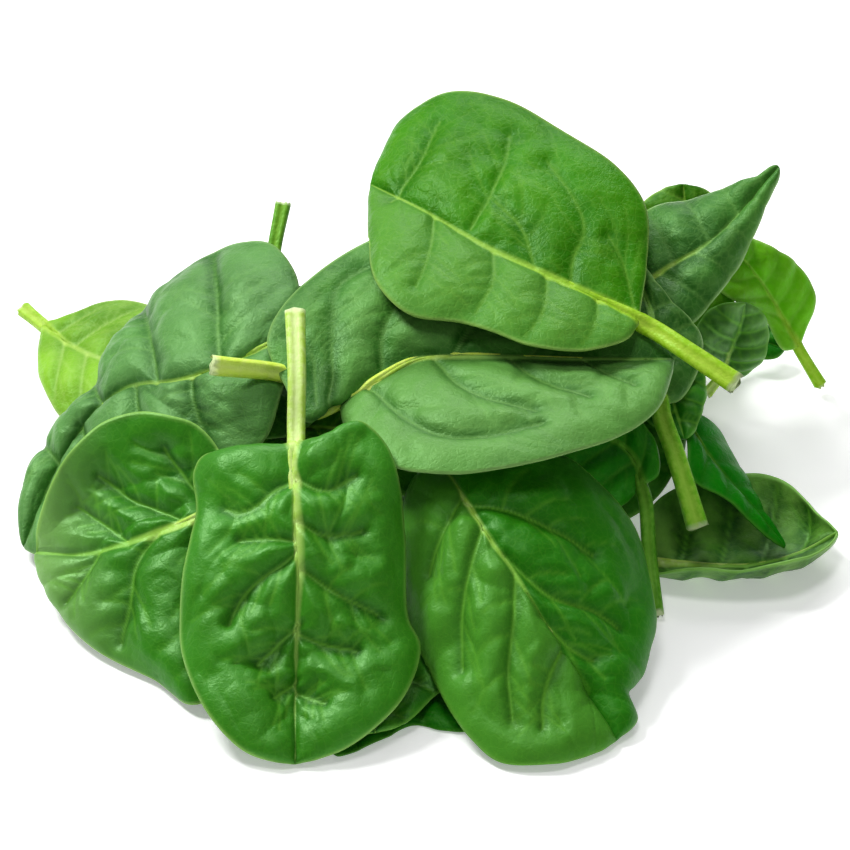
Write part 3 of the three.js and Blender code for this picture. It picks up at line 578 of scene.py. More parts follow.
def makeLeaf(leaf, finish):
    leaf = {**usualLeaf, **leaf, "order": len(madeLeaves)}
    madeLeaves.append(leaf["node"])
    leaf["curves"] = leafCurves(leaf)
    rows = coarseBlade(leaf)
    stalkCurve = stalkLine(leaf, rows)
    lift = settle(leaf, rows, stalkCurve(np.linspace(0, 1, heap["stalkRings"])))
    points, masks, alongs = fineBlade(leaf, lift)
    points, more = clearOf(points, fine["floorGap"])
    mark(shownHeap, points.reshape(-1, 3), 0)
    # the stalk runs from its cut end to the base, and on under the blade to near the tip
    mid = (points.shape[1] - 1) // 2
    along = np.linspace(1, 0, fine["stalkRings"])
    columnCount = rows.shape[1]
    stalkLifts = np.concatenate([[lift[columnCount // 2]], lift[rows.shape[0] * columnCount:]])
    free = stalkCurve(along)
    ringAt = along * (heap["stalkRings"] - 1)
    free[:, 2] += smoothGrid(np.stack([stalkLifts, stalkLifts], axis=1), ringAt, 0 * along)
    free[:, 2] += more[0, mid] * (1 - along)
    underBlade = slice(2, int(len(points) * 0.93), 2)
    ribAlong = alongs[underBlade]
    radius = leaf["stalkWidth"] / 2
    freeWidths = radius * (0.94 + 0.14 * along[:-1] ** 3)
    ribWidths = radius * (0.94 - 0.8 * ribAlong ** 0.42)
    line = smoothLine(np.vstack([free[:-1], points[underBlade, mid]]))
    halfWidths = np.concatenate([freeWidths, ribWidths])
    sinks = np.concatenate([0 * freeWidths, ribWidths * np.clip(4 * ribAlong - 0.12, -0.12, 1)])
    stalk = makeStalk(leaf, line, halfWidths, sinks)
    mark(shownHeap, line[:len(freeWidths)], radius * 0.6)
    blade = makeBlade(points, masks)
    activeOnly(blade)
    stalk.select_set(True)
    bpy.ops.object.join()
    bpy.ops.object.shade_smooth()
    places = pointsOf(blade.data)
    places[:, 2] = np.maximum(places[:, 2], 0)
    shapeMesh(blade.data, places, {})
    blade.name = "fine_" + leaf["node"]
    blade.data.materials.clear()
    blade.data.materials.append(leafMaterial(leaf["node"], {**usualFinish, **finish, **leaf["look"]}))
    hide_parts(leaf["node"])
    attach(blade, "root")
    print("made", leaf["node"], len(blade.data.polygons), "faces")


def srgb(colour):
    # a colour as read from the photograph, 0 to 255, for a shader
    parts = [value / 255 for value in colour]
    parts = [part / 12.92 if part <= 0.04045 else ((part + 0.055) / 1.055) ** 2.4 for part in parts]
    return tuple(parts) + (1,)


class Nodes:
    # Short ways to add and join shader nodes. An input is a value or another node's output.
    def __init__(self, material):
        material.use_nodes = True
        self.tree = material.node_tree
        self.tree.nodes.clear()

    def add(self, kind, inputs, **settings):
        node = self.tree.nodes.new(kind)
        for key, value in settings.items():
            setattr(node, key, value)
        for key, value in inputs.items():
            if isinstance(value, bpy.types.NodeSocket):
                self.tree.links.new(value, node.inputs[key])
            else:
                node.inputs[key].default_value = value
        return node

    def mask(self, name):
        return self.add("ShaderNodeAttribute", {}, attribute_name=name).outputs["Fac"]

    def noise(self, place, scale, detail=3, rough=0.55):
        inputs = {"Vector": place, "Scale": scale, "Detail": detail, "Roughness": rough}
        return self.add("ShaderNodeTexNoise", inputs).outputs["Fac"]

    def scaled(self, value, ends, kind="LINEAR"):
        inputs = {"Value": value, **ends}
        return self.add("ShaderNodeMapRange", inputs, clamp=True, interpolation_type=kind).outputs["Result"]

    def ramp(self, value, low, high):
        # 0 up to low, 1 from high
        return self.scaled(value, {"From Min": low, "From Max": high}, "SMOOTHSTEP")

    def times(self, value, factor):
        return self.add("ShaderNodeMath", {0: value, 1: factor}, operation="MULTIPLY").outputs[0]

    def total(self, first, second):
        return self.add("ShaderNodeMath", {0: first, 1: second}, operation="ADD").outputs[0]

    def mix(self, share, first, second):
        return self.add("ShaderNodeMix", {"Factor": share, 6: first, 7: second}, data_type="RGBA").outputs[2]

    def finish(self, shader):
        self.add("ShaderNodeOutputMaterial", {"Surface": shader.outputs[0]})


patterns = {"patches": 45, "mottle": 260, "net": 520, "streaks": 600, "grain": 1100, "dull": 90}  # how fine
leafSkin = {
    "netWidth": 0.09,
    "netShow": 0.1,
    "rimShow": 0.75,
    "cutEnd": (226, 238, 190),      # of a stalk
    "bumpDepth": 0.0004,            # metres
    "roughSpread": (-0.07, 0.09),
    "glossTint": (0.5, 1, 0.38, 1),
}


def leafMaterial(name, look):
    # Green lamina in soft patches with a fine net, paler veins, midrib and rim, and the stalk's own colour,
    # with a painted highlight on the pad crests, painted shade in the creases and, on some leaves, a painted
    # sheen on one half or at the tip.
    material = bpy.data.materials.new("spinach_" + name)
    nodes = Nodes(material)
    place = nodes.add("ShaderNodeTexCoord", {}).outputs["Object"]
    patches = nodes.ramp(nodes.noise(place, patterns["patches"], 2), 0.35, 0.68)
    mottle = nodes.ramp(nodes.noise(place, patterns["mottle"], 4, 0.65), 0.35, 0.7)
    cells = {"Vector": place, "Scale": patterns["net"]}
    net = nodes.add("ShaderNodeTexVoronoi", cells, feature="DISTANCE_TO_EDGE")
    net = nodes.scaled(net.outputs["Distance"], {"From Max": leafSkin["netWidth"], "To Min": 1, "To Max": 0})
    layers = [
        # painted highlight: the pale light tone is laid on the crests of the pads, from the start to the full
        # share of their height; the mottle below is the leaf's own random tone
        (nodes.ramp(nodes.mask("bump"), look["highlightStart"], look["highlightFull"]), 0.65, "light"),
        (mottle, 0.25, "light"),
    ]
    # painted sheen and lit side: one half of some leaves is made paler, as if the light fell on it or it
    # shone
    if "litHalfTone" in look:
        low, high = (0.7, 0.3) if look["litHalf"] == 0 else (0.3, 0.7)
        layers.append((nodes.ramp(nodes.mask("half"), low, high), look["litHalfShare"], "litHalfTone"))
    # painted highlight: the tip of some leaves is made paler, as if it shone
    if "tipHighlight" in look:
        layers.append((nodes.mask("tip"), look["tipHighlightShare"], "tipHighlight"))
    layers += [
        # painted shade: the creases along the veins and the midrib are darkened with the deep tone
        (nodes.mask("creaseShade"), look["creaseShadeShow"], "deep"),
        (net, leafSkin["netShow"], "vein"),
        (nodes.mask("vein"), look["veinShow"], "vein"),
        (nodes.mask("rib"), look["ribShow"], "ribTone"),
        (nodes.mask("rim"), leafSkin["rimShow"], "rim"),
    ]
    green = nodes.mix(patches, srgb(look["deep"]), srgb(look["body"]))
    for mask, share, tone in layers:
        green = nodes.mix(nodes.times(mask, share), green, srgb(look[tone]))
    streaks = nodes.ramp(nodes.noise(place, patterns["streaks"], 2), 0.35, 0.7)
    stem = nodes.mix(nodes.times(streaks, 0.5), srgb(look["stalk"]), srgb(look["stalkPale"]))
    stem = nodes.mix(nodes.times(nodes.mask("vein"), 0.7), stem, srgb(look["stalkPale"]))
    stem = nodes.mix(nodes.times(nodes.mask("rim"), 0.8), stem, srgb(leafSkin["cutEnd"]))
    colour = nodes.mix(nodes.mask("stalk"), green, stem)
    height = nodes.total(nodes.times(nodes.noise(place, patterns["grain"]), 0.7), nodes.times(net, -0.12))
    height = nodes.total(height, nodes.times(mottle, 0.45))
    bump = nodes.add("ShaderNodeBump", {
        "Height": height,
        "Strength": look["bump"],
        "Distance": leafSkin["bumpDepth"],
    })
    shiny, dull = (look["rough"] + spread for spread in leafSkin["roughSpread"])
    rough = nodes.scaled(nodes.noise(place, patterns["dull"]), {"To Min": shiny, "To Max": dull})
    skin = nodes.add("ShaderNodeBsdfPrincipled", {
        "Base Color": colour,
        "Normal": bump.outputs["Normal"],
        "Roughness": rough,
        "IOR": 1.45,
        "Specular IOR Level": look["gloss"],
        "Specular Tint": leafSkin["glossTint"],
        "Sheen Weight": look["bloom"],
        "Sheen Roughness": 0.5,
    })
    through = nodes.add("ShaderNodeBsdfTranslucent", {"Color": colour})
    both = {"Fac": look["through"], 1: skin.outputs[0], 2: through.outputs[0]}
    nodes.finish(nodes.add("ShaderNodeMixShader", both))
    return material


# Finishes. Colours are red, green and blue from 0 to 255, as the photograph shows them.
# light is the tone of the painted highlight on the pad crests and of the random mottle; the two crest values
# say where that painted highlight starts and where it is full
usualFinish = {
    "ribShow": 0.85, "creaseShadeShow": 0.5, "through": 0.2, "highlightStart": 0.45, "highlightFull": 0.95, "rough": 0.36,
    "gloss": 0.32, "bloom": 0, "bump": 0.5,
}
brightFinish = {
    "slot": "bright_leaf", "body": (71, 138, 7), "deep": (50, 116, 5), "light": (97, 155, 37),
    "vein": (152, 208, 78), "ribTone": (170, 218, 84), "rim": (176, 218, 112), "stalk": (152, 206, 24),
    "stalkPale": (200, 234, 84), "veinShow": 0.45, "highlightStart": 0.55, "highlightFull": 1.25, "gloss": 0.25,
}
yellowFinish = {
    "slot": "yellow_green_leaf", "body": (124, 174, 44), "deep": (94, 151, 26), "light": (151, 193, 73),
    "vein": (196, 228, 130), "ribTone": (204, 234, 130), "rim": (190, 222, 130), "stalk": (150, 200, 34),
    "stalkPale": (206, 236, 110), "veinShow": 0.8, "creaseShadeShow": 0.4, "highlightStart": 0.55, "highlightFull": 1.25,
    "rough": 0.4, "bloom": 0.02,
}
greyFinish = {
    "slot": "grey_green_leaf", "body": (74, 142, 44), "deep": (26, 88, 12), "light": (122, 176, 92),
    "vein": (140, 196, 96), "ribTone": (150, 206, 92), "rim": (156, 204, 116), "stalk": (166, 212, 60),
    "stalkPale": (218, 242, 130), "veinShow": 0.4, "creaseShadeShow": 0.55, "through": 0.16, "highlightStart": 0.55,
    "highlightFull": 1.25, "rough": 0.42, "gloss": 0.5, "bloom": 0.02,
}
deepFinish = {
    "slot": "deep_green_leaf", "body": (22, 108, 4), "deep": (6, 76, 2), "light": (60, 144, 20),
    "vein": (116, 190, 54), "ribTone": (150, 214, 80), "rim": (120, 188, 66), "stalk": (190, 228, 84),
    "stalkPale": (236, 250, 176), "veinShow": 0.7, "ribShow": 0.9, "through": 0.16, "highlightStart": 0.42,
    "rough": 0.42, "gloss": 0.75, "bump": 0.32,
}
darkFinish = {
    "slot": "dark_green_leaf", "body": (12, 116, 4), "deep": (5, 84, 2), "light": (40, 148, 16),
    "vein": (84, 160, 44), "ribTone": (104, 176, 52), "rim": (92, 166, 52), "stalk": (78, 150, 28),
    "stalkPale": (132, 196, 66), "veinShow": 0.6, "ribShow": 0.8,
}
innerFinish = {
    "slot": "inner_leaf", "body": (46, 126, 18), "deep": (24, 92, 8), "light": (88, 160, 44),
    "vein": (120, 184, 68), "ribTone": (142, 202, 78), "rim": (126, 186, 76), "stalk": (150, 200, 60),
    "stalkPale": (204, 232, 120), "veinShow": 0.8, "creaseShadeShow": 0.4, "gloss": 0.36, "bloom": 0.02,
}

# What most leaves have in common. Each leaf's own dictionary says where it differs.
# puff rounds the two halves of a leaf, pucker and wave shape its pads and its margin, and quilt, crumple,
# frill and ridge shape the skin that is shown. grid and show pick the rows and columns of each.
usualLeaf = {
    "grid": "small", "show": "beside",
    "stalkWidth": 3.2, "puff": [1.5, 1.5], "pucker": 0.6, "wave": 0.5, "quilt": 0.5, "crumple": 0.6,
    "frill": 0.3, "ridge": 0, "ribRise": 0.45, "ribTaper": 0.4, "ribSlope": 1.2, "solidPucker": 0.5,
    "veins": [],  # drawn ones, as [across, up] in the view
    "look": {},
}
hiddenLeaf = {  # inside the heap
    "show": "hidden",
    "puff": [2, 2], "pucker": 0.9, "wave": 0.8, "quilt": 0.6, "crumple": 0.9,
}
backLeaf = {  # down the back of the heap
    "show": "hidden",
    "wave": 1, "quilt": 0.7, "crumple": 0.8, "frill": 0.5, "solidPucker": 0.3,
    "look": {"body": (40, 116, 16), "deep": (20, 88, 8), "light": (76, 146, 40)},
}

innerLeafLow = {
    **hiddenLeaf,
    "node": "inner_leaf_low",
    "rib": [[-30, 6, 3], [-12, 12, 4], [8, 17, 4], [30, 20, 3]],
    "left": [[-27, 18, 4], [-10, 30, 6], [12, 34, 6], [28, 29, 4]],
    "right": [[-28, -3, 2], [-10, -6, 3], [12, -2, 3], [28, 9, 2]],
    "stalk": [[-44, 2, 2]], "stalkWidth": 3.4,
}
makeLeaf(innerLeafLow, innerFinish)

innerLeafBack = {
    **backLeaf,
    "node": "inner_leaf_back",
    "rib": [[14, 47, 31], [14, 57, 30], [13, 62, 22], [12, 60, 11], [11, 56, 2.5]],
    "left": [[8, 46, 31], [-4, 50, 29], [-8, 59, 22], [-6, 61, 12], [2, 57, 4.5]],
    "right": [[20, 46, 31], [32, 50, 29], [35, 59, 21], [32, 60, 11], [22, 57, 4]],
    "stalk": [[14, 40, 29]], "stalkWidth": 3.4, "puff": [2, 2], "pucker": 1.2, "wave": 1.2,
}
makeLeaf(innerLeafBack, innerFinish)

innerLeafBackRight = {
    **backLeaf,
    "node": "inner_leaf_back_right",
    "rib": [[40, 42, 22], [43, 52, 23], [46, 56, 16], [48, 53, 7], [49, 51, 2.5]],
    "left": [[35, 42, 22], [28, 50, 20], [28, 55, 14], [34, 53, 7], [42, 51, 3.5]],
    "right": [[46, 42, 22], [54, 47, 19], [57, 52, 12], [56, 51, 6], [52, 50, 3]],
    "stalk": [[38, 36, 21]], "stalkWidth": 3, "pucker": 1,
}
makeLeaf(innerLeafBackRight, innerFinish)

innerLeafBackLeft = {
    **backLeaf,
    "node": "inner_leaf_back_left",
    "rib": [[-28, 40, 27], [-34, 50, 27], [-39, 54, 20], [-43, 50, 10], [-46, 46, 2.5]],
    "left": [[-33, 38, 27], [-44, 42, 24], [-52, 47, 17], [-54, 46, 9], [-50, 45, 3.5]],
    "right": [[-23, 42, 27], [-19, 50, 24], [-22, 55, 16], [-30, 52, 8], [-40, 48, 3]],
    "stalk": [[-24, 34, 25]], "pucker": 1.1,
}
makeLeaf(innerLeafBackLeft, innerFinish)

innerLeafLeft = {
    **hiddenLeaf,
    "node": "inner_leaf_left",
    "rib": [[-36, 24, 12], [-48, 26, 15], [-60, 25, 13], [-72, 20, 5]],
    "left": [[-38, 14, 9], [-50, 10, 8], [-62, 10, 5], [-70, 14, 3]],
    "right": [[-38, 36, 16], [-50, 40, 18], [-62, 37, 13], [-71, 29, 6]],
    "stalk": [[-24, 20, 8]],
}
makeLeaf(innerLeafLeft, innerFinish)

floorLeafFront = {
    "node": "floor_leaf_front",
    "rib": [[6, -20, 2], [0, -27, 1.5], [-8, -32, 1], [-21, -39, 1]],
    "left": [[8, -27, 1.5], [9.5, -36, 1], [4, -36, 1], [-2, -35, 1], [-10, -38.5, 1], [-19, -41.5, 1]],
    "right": [[1, -14, 3], [-10, -18, 3], [-20, -24, 2.5], [-27, -34, 1.5]],
    "stalk": [[12, -14, 3]], "stalkWidth": 3, "puff": [1, 1], "wave": 0.3,
}
makeLeaf(floorLeafFront, darkFinish)

floorLeafLeft = {
    "node": "floor_leaf_left",
    "rib": [[-60, -8, 3], [-54, -16, 2], [-48, -26, 1.2], [-43, -34, 1]],
    "left": [[-52, -5, 3], [-42, -11, 3], [-37, -22, 2], [-37, -32, 1.2]],
    "right": [[-66, -11, 2], [-62, -18, 1.2], [-51, -28, 1]],
    "stalk": [[-65, 1, 3]], "stalkWidth": 3, "puff": [1, 1], "wave": 0.3,
}
makeLeaf(floorLeafLeft, darkFinish)

floorLeafCentre = {
    "node": "floor_leaf_centre",
    "rib": [[-2, -1, 6], [-4, -12, 5], [-7, -24, 3.5], [-11, -36.5, 2]],
    "left": [[6, -3, 6], [12, -13, 6], [10, -23, 5], [3, -28, 4], [-4, -34.5, 2.5]],
    "right": [[-12, -3, 6], [-20, -12, 5], [-22, -25, 3.5], [-18, -37, 2]],
    "stalk": [[1, 9, 5]], "pucker": 0.8, "quilt": 0.8, "crumple": 1.2, "solidPucker": 0.4,
}
makeLeaf(floorLeafCentre, deepFinish)

innerLeafMiddle = {
    **hiddenLeaf,
    "node": "inner_leaf_middle",
    "rib": [[22, 30, 18], [8, 31, 22], [-6, 33, 25], [-20, 37, 26]],
    "left": [[24, 18, 12], [8, 14, 15], [-8, 16, 18], [-20, 26, 22]],
    "right": [[22, 42, 22], [8, 48, 26], [-8, 50, 29], [-20, 46, 29]],
    "stalk": [[32, 28, 14]], "pucker": 1,
}
makeLeaf(innerLeafMiddle, innerFinish)

innerLeafUpper = {
    **hiddenLeaf,
    "node": "inner_leaf_upper",
    "rib": [[40, 48, 34], [26, 54, 38], [10, 62, 42], [-4, 72, 45]],
    "left": [[34, 42, 32], [20, 44, 34], [4, 50, 37], [-8, 62, 41]],
    "right": [[43, 57, 37], [36, 68, 42], [22, 78, 46], [6, 81, 47]],
    "stalk": [[52, 43, 30]],
}
makeLeaf(innerLeafUpper, innerFinish)

innerLeafRight = {
    **hiddenLeaf,
    "node": "inner_leaf_right",
    "rib": [[34, 16, 8], [40, 24, 13], [46, 32, 18], [52, 41, 22]],
    "left": [[26, 20, 10], [27, 30, 16], [34, 39, 21], [44, 43, 23]],
    "right": [[40, 8, 4], [51, 14, 8], [57, 24, 14], [57, 34, 19]],
    "stalk": [[30, 8, 4]],
}
makeLeaf(innerLeafRight, innerFinish)

floorLobeRight = {
    "node": "floor_lobe_right",
    "rib": [[58, 50, 3], [66, 50, 4], [74, 49, 5], [80.5, 47, 4]],
    "left": [[61, 54, 5], [69, 55, 7], [77, 52, 6]],
    "right": [[61, 46, 2], [69, 45, 2], [77, 44.5, 3]],
    "stalk": [[51, 50, 2]], "stalkWidth": 2.4, "puff": [1, 1], "pucker": 0.5,
}
makeLeaf(floorLobeRight, darkFinish)

farLeftLeaf = {
    "node": "far_left_leaf",
    "rib": [[-85, 51.8, 10], [-78.5, 47, 11.5], [-68, 43, 13], [-55, 40, 12]],
    "left": [[-82, 53.5, 12], [-73, 57, 14], [-61, 56.5, 15], [-54, 49, 14]],
    "right": [[-86.5, 46, 9], [-85.5, 39.5, 8], [-79.5, 31, 6], [-68, 29, 6], [-58, 33, 9]],
    "stalk": [[-90.2, 56, 9]], "stalkWidth": 3.4, "wave": 0.6, "quilt": 0.35,
    "look": {"veinShow": 0.4, "ribShow": 0.5, "body": (146, 206, 50)},
}
makeLeaf(farLeftLeaf, yellowFinish)

notchLeaf = {
    "node": "notch_leaf",
    "rib": [[-45, 25, 25], [-33, 28.5, 29], [-20, 29, 31], [-7, 26, 30]],
    "left": [[-41, 33, 29], [-29, 38, 32], [-16, 37, 33], [-8, 32, 32]],
    "right": [[-41, 19, 22], [-29, 19, 25], [-14, 18, 26]],
    "stalk": [[-55, 20, 20]], "stalkWidth": 3, "pucker": 0.7,
}
makeLeaf(notchLeaf, brightFinish)

stalkUpLeaf = {
    "node": "stalk_up_leaf",
    "rib": [[-34, 61, 41], [-36, 52, 37], [-38, 40, 31], [-41, 27, 24]],
    "left": [[-27, 60, 41], [-19, 51, 37], [-19, 39, 31], [-28, 28, 25]],
    "right": [[-41, 61, 40], [-52, 51, 34], [-55, 39, 28], [-49, 29, 24]],
    "stalk": [[-33.5, 68, 45], [-31.5, 79, 51]], "stalkWidth": 3.3, "pucker": 0.7, "quilt": 0.6,
    "crumple": 0.7,
    "look": {"stalk": (92, 158, 28), "stalkPale": (138, 196, 58)},
}
makeLeaf(stalkUpLeaf, greyFinish)

backRightLeaf = {
    "node": "back_right_leaf",
    "rib": [[59, 50, 28], [59, 61, 34], [58.5, 73, 42], [57.5, 83.5, 49]],
    "left": [[51, 55, 31], [46, 66, 37], [48, 78, 44], [53, 82.5, 48]],
    "right": [[67, 54, 31], [70, 65, 37], [68, 76, 43], [63, 82, 47]],
    "stalk": [[60, 42, 23]], "stalkWidth": 2.8, "pucker": 0.5, "wave": 0.4,
    "look": {"body": (104, 176, 30), "through": 0.3},
}
makeLeaf(backRightLeaf, brightFinish)

rightLeaf = {
    "node": "right_leaf", "grid": "large",
    "rib": [[83, 48, 13], [78.5, 56, 22], [73, 64, 32], [66, 72, 41]],
    "left": [[80, 47, 13], [76.5, 53, 19], [72, 56, 24], [65, 60, 30], [62, 67, 36]],
    "right": [[85, 52, 17], [87, 59, 24], [84.5, 64, 29], [78, 69, 35], [71, 72, 39]],
    "stalk": [[86, 43, 7], [88.6, 38.8, 2.4]], "stalkWidth": 2.8, "puff": [1.6, 1.6], "pucker": 0.7,
    "wave": 0.6,
    "look": {"body": (128, 210, 26), "deep": (98, 184, 14), "through": 0.35},
}
makeLeaf(rightLeaf, brightFinish)

smallCrumpledLeaf = {
    "node": "small_crumpled_leaf", "grid": "large",
    "rib": [[66, 41.5, 8], [68, 47, 16], [70, 52, 22], [71, 57, 27]],
    "left": [[61, 42, 9], [59, 47, 15], [61, 53, 22], [65, 56.5, 26]],
    "right": [[71, 41, 9], [75, 43.5, 13], [76.5, 49, 19], [75, 55, 25]],
    "stalk": [[63, 37, 3]], "stalkWidth": 2.4, "pucker": 1.2, "wave": 0.9, "quilt": 1, "crumple": 0.8,
    "frill": 0.5, "solidPucker": 0.4,
    "look": {"body": (80, 140, 56), "deep": (44, 104, 30), "light": (120, 172, 92), "ribShow": 0.4},
}
makeLeaf(smallCrumpledLeaf, deepFinish)

pointedLeaf = {
    "node": "pointed_leaf", "grid": "large",
    "rib": [[45, 58, 40], [53, 64, 44], [64, 71, 49], [78.5, 87, 57]],
    "left": [[42, 64, 43], [44, 73, 46], [51, 78, 49], [60, 80, 51], [68, 83, 54], [74, 85.3, 56]],
    "right": [[50, 53, 38], [56, 51, 38], [61, 54, 39], [66, 60.5, 42], [73, 72.5, 49], [76.5, 80.5, 54]],
    "stalk": [[37, 54, 36]], "stalkWidth": 3, "puff": [2, 2], "pucker": 0.7, "quilt": 0.4, "crumple": 0.5,
    "ribRise": 0.2,
    "look": {"body": (62, 128, 38), "deep": (24, 84, 12), "light": (102, 156, 76), "creaseShadeShow": 0.1,
        "ribShow": 0.3, "veinShow": 0.25},
}
makeLeaf(pointedLeaf, greyFinish)

boatLeaf = {
    "node": "boat_leaf", "grid": "large",
    "rib": [[47, 0, 2], [60, -1, 0.6], [72, -1, 0.6], [83, 2, 2], [90.6, 6.4, 7]],
    "left": [[50, 12, 6], [60, 17.5, 8], [71, 19.3, 9], [80.5, 16.7, 9], [86.5, 10.5, 8]],
    "right": [[50, -2.5, 5], [60, -2, 8], [70.5, -1.3, 9], [80, -0.5, 9], [87.5, 2.8, 8]],
    "stalk": [[38, 2, 2.5]], "stalkWidth": 3, "puff": [-3, -3], "wave": 0.6, "quilt": 0.4, "crumple": 0.4,
    "solidPucker": 0.4,
    # a bright painted highlight on the raised crests near the rim, and a dark inside
    "look": {"body": (18, 104, 6), "deep": (4, 64, 2), "light": (160, 220, 96), "highlightStart": 0.5,
        "rim": (150, 210, 96), "highlightFull": 0.8},
}
makeLeaf(boatLeaf, deepFinish)

leaningLeaf = {
    "node": "leaning_leaf",
    "rib": [[57, 31, 26], [64, 21, 20], [71, 13, 13.5], [79, 3, 6]],
    "left": [[60.5, 32, 24], [64.5, 29, 20], [67.5, 24.5, 17], [70.5, 19, 14], [73, 13.5, 11],
        [76.5, 7.5, 8]],
    "right": [[57.5, 26.5, 25], [58.5, 18.5, 21], [66, 13.5, 17], [70.5, 9.7, 13.5], [75, 5.5, 10]],
    "stalk": [[50, 37, 27]], "stalkWidth": 2.8, "puff": [1, 1], "pucker": 0.4, "wave": 0.3, "quilt": 0.2,
    "crumple": 0.2, "ribRise": 0.15,
    "look": {"body": (16, 158, 5), "deep": (9, 122, 3), "light": (34, 168, 12), "through": 0.35,
        "ribShow": 0.25, "veinShow": 0.2},
}
makeLeaf(leaningLeaf, darkFinish)

smallShadeLeaf = {
    "node": "small_shade_leaf",
    "rib": [[50, 50, 32], [53, 42, 29], [55, 34, 26], [57, 27, 22]],
    "left": [[57, 48, 32], [61.5, 41, 29], [61.5, 35, 26], [60, 30, 23.5]],
    "right": [[45, 44, 29], [45, 36, 26], [51, 29, 22]],
    "stalk": [[46, 56, 33]], "stalkWidth": 2.6, "puff": [1, 1], "pucker": 0.5, "wave": 0.4, "quilt": 0.8,
    "crumple": 1.2, "solidPucker": 0.4,
    "look": {"body": (30, 128, 10), "deep": (12, 98, 4), "light": (70, 158, 34)},
}
makeLeaf(smallShadeLeaf, deepFinish)

underStalkLeaf = {
    "node": "under_stalk_leaf",
    "rib": [[47.4, 16.5, 21], [45.2, 23, 25], [37, 28.5, 29], [22, 31, 32]],
    "left": [[44, 13, 18], [35, 10, 20], [24, 14, 25], [16, 22, 29]],
    "right": [[51, 19, 22], [50, 27, 26], [42, 34, 30], [28, 38, 33]],
    "stalk": [[49, 3, 11], [50.4, -11.5, 2.3]], "stalkWidth": 3.4,
    "look": {"body": (30, 146, 12), "deep": (14, 112, 6), "light": (60, 160, 30)},
}
makeLeaf(underStalkLeaf, darkFinish)

hangingStalkLeaf = {
    "node": "hanging_stalk_leaf", "grid": "large",
    "rib": [[51.7, 35, 29], [50.7, 43, 34], [50, 53, 40], [46, 66, 47]],
    "left": [[46, 37, 31], [40, 45, 35], [37, 55, 40], [40, 63, 45]],
    "right": [[56, 35.5, 29], [60, 42, 32], [61, 47, 34], [59.5, 51.5, 37], [55, 56.5, 41],
        [50, 62.5, 45.5]],
    "stalk": [[54.7, 24.6, 22], [59.9, 7.5, 9.5]], "stalkWidth": 4.6, "puff": [1.6, 1.6], "wave": 0.4,
    "quilt": 0.6, "crumple": 0.7,
    "look": {"stalk": (112, 192, 26), "stalkPale": (184, 228, 84)},
}
makeLeaf(hangingStalkLeaf, greyFinish)

leftLeaf = {
    "node": "left_leaf", "grid": "large", "show": "near",
    "rib": [[-34, 47, 42], [-46, 41.5, 39], [-55, 39, 35], [-65, 38, 29], [-72, 33, 23], [-81, 20, 12],
        [-88, 3, 3]],
    "left": [[-31, 43, 40], [-32, 35, 37], [-35, 27, 33], [-44, 19, 27], [-56, 12, 19], [-69, 6, 11],
        [-80, 1, 5]],
    "right": [[-30, 54, 44], [-28, 61, 46], [-35, 70, 47], [-46, 68.5, 43], [-59, 58, 32], [-66, 48, 26],
        [-72, 38, 21], [-80, 30, 15], [-85, 23, 11], [-88.5, 12, 6]],
    "stalk": [[-24, 51, 40]], "stalkWidth": 3.4, "puff": [2.6, 2.6], "pucker": 1.5, "wave": 0.7,
    "quilt": 1.5, "crumple": 0.9, "solidPucker": 0.3,
    "look": {"ribShow": 0.35, "body": (66, 130, 44), "light": (116, 172, 96), "deep": (26, 86, 16)},
}
makeLeaf(leftLeaf, greyFinish)

frontLeftLeaf = {
    "node": "front_left_leaf", "grid": "large", "show": "near",
    "rib": [[-45, 11, 27], [-54, 7, 22], [-64, 3.5, 17], [-74, 1, 12], [-85.3, 1.5, 8]],
    "left": [[-41, 3, 23], [-39, -12, 12], [-41, -25, 4], [-49, -31, 1.5], [-58, -25.5, 1.5],
        [-69, -20.5, 1.5], [-77, -14, 2.5], [-82, -7, 4]],
    "right": [[-43, 19, 32], [-45, 25, 35], [-50, 30.3, 38], [-55, 32, 38], [-62, 32.8, 37],
        [-71, 30.5, 34], [-77.5, 24.5, 29], [-82, 16.5, 22], [-85, 8, 14]],
    "stalk": [[-36, 14, 28]], "stalkWidth": 3.4, "puff": [1.6, -3], "pucker": 1.2, "wave": 0.6,
    "quilt": 1.6, "crumple": 1.2, "ridge": 0.8, "ribTaper": 0.5, "solidPucker": 0.2,
    "veins": [
        [[-53.2, 9], [-60.5, 11.9], [-64.7, 13.6], [-68.2, 16.7], [-71.5, 18.5]],
        [[-47, 11], [-52, 18], [-57, 25]],
        [[-64, 3.5], [-70, 8], [-76, 12]],
        [[-57.9, 5], [-61.2, 1.5], [-62.7, -1.1], [-63.6, -7.9], [-66, -17.6]],
        [[-49, 9], [-50, 0], [-49, -12], [-46, -22]],
        [[-70, 2], [-74, -4], [-78, -9]],
    ],
    # a painted highlight on the tip
    "look": {"tipHighlight": (170, 212, 130), "tipHighlightShare": 0.55, "rim": (160, 214, 100)},
}
makeLeaf(frontLeftLeaf, deepFinish)

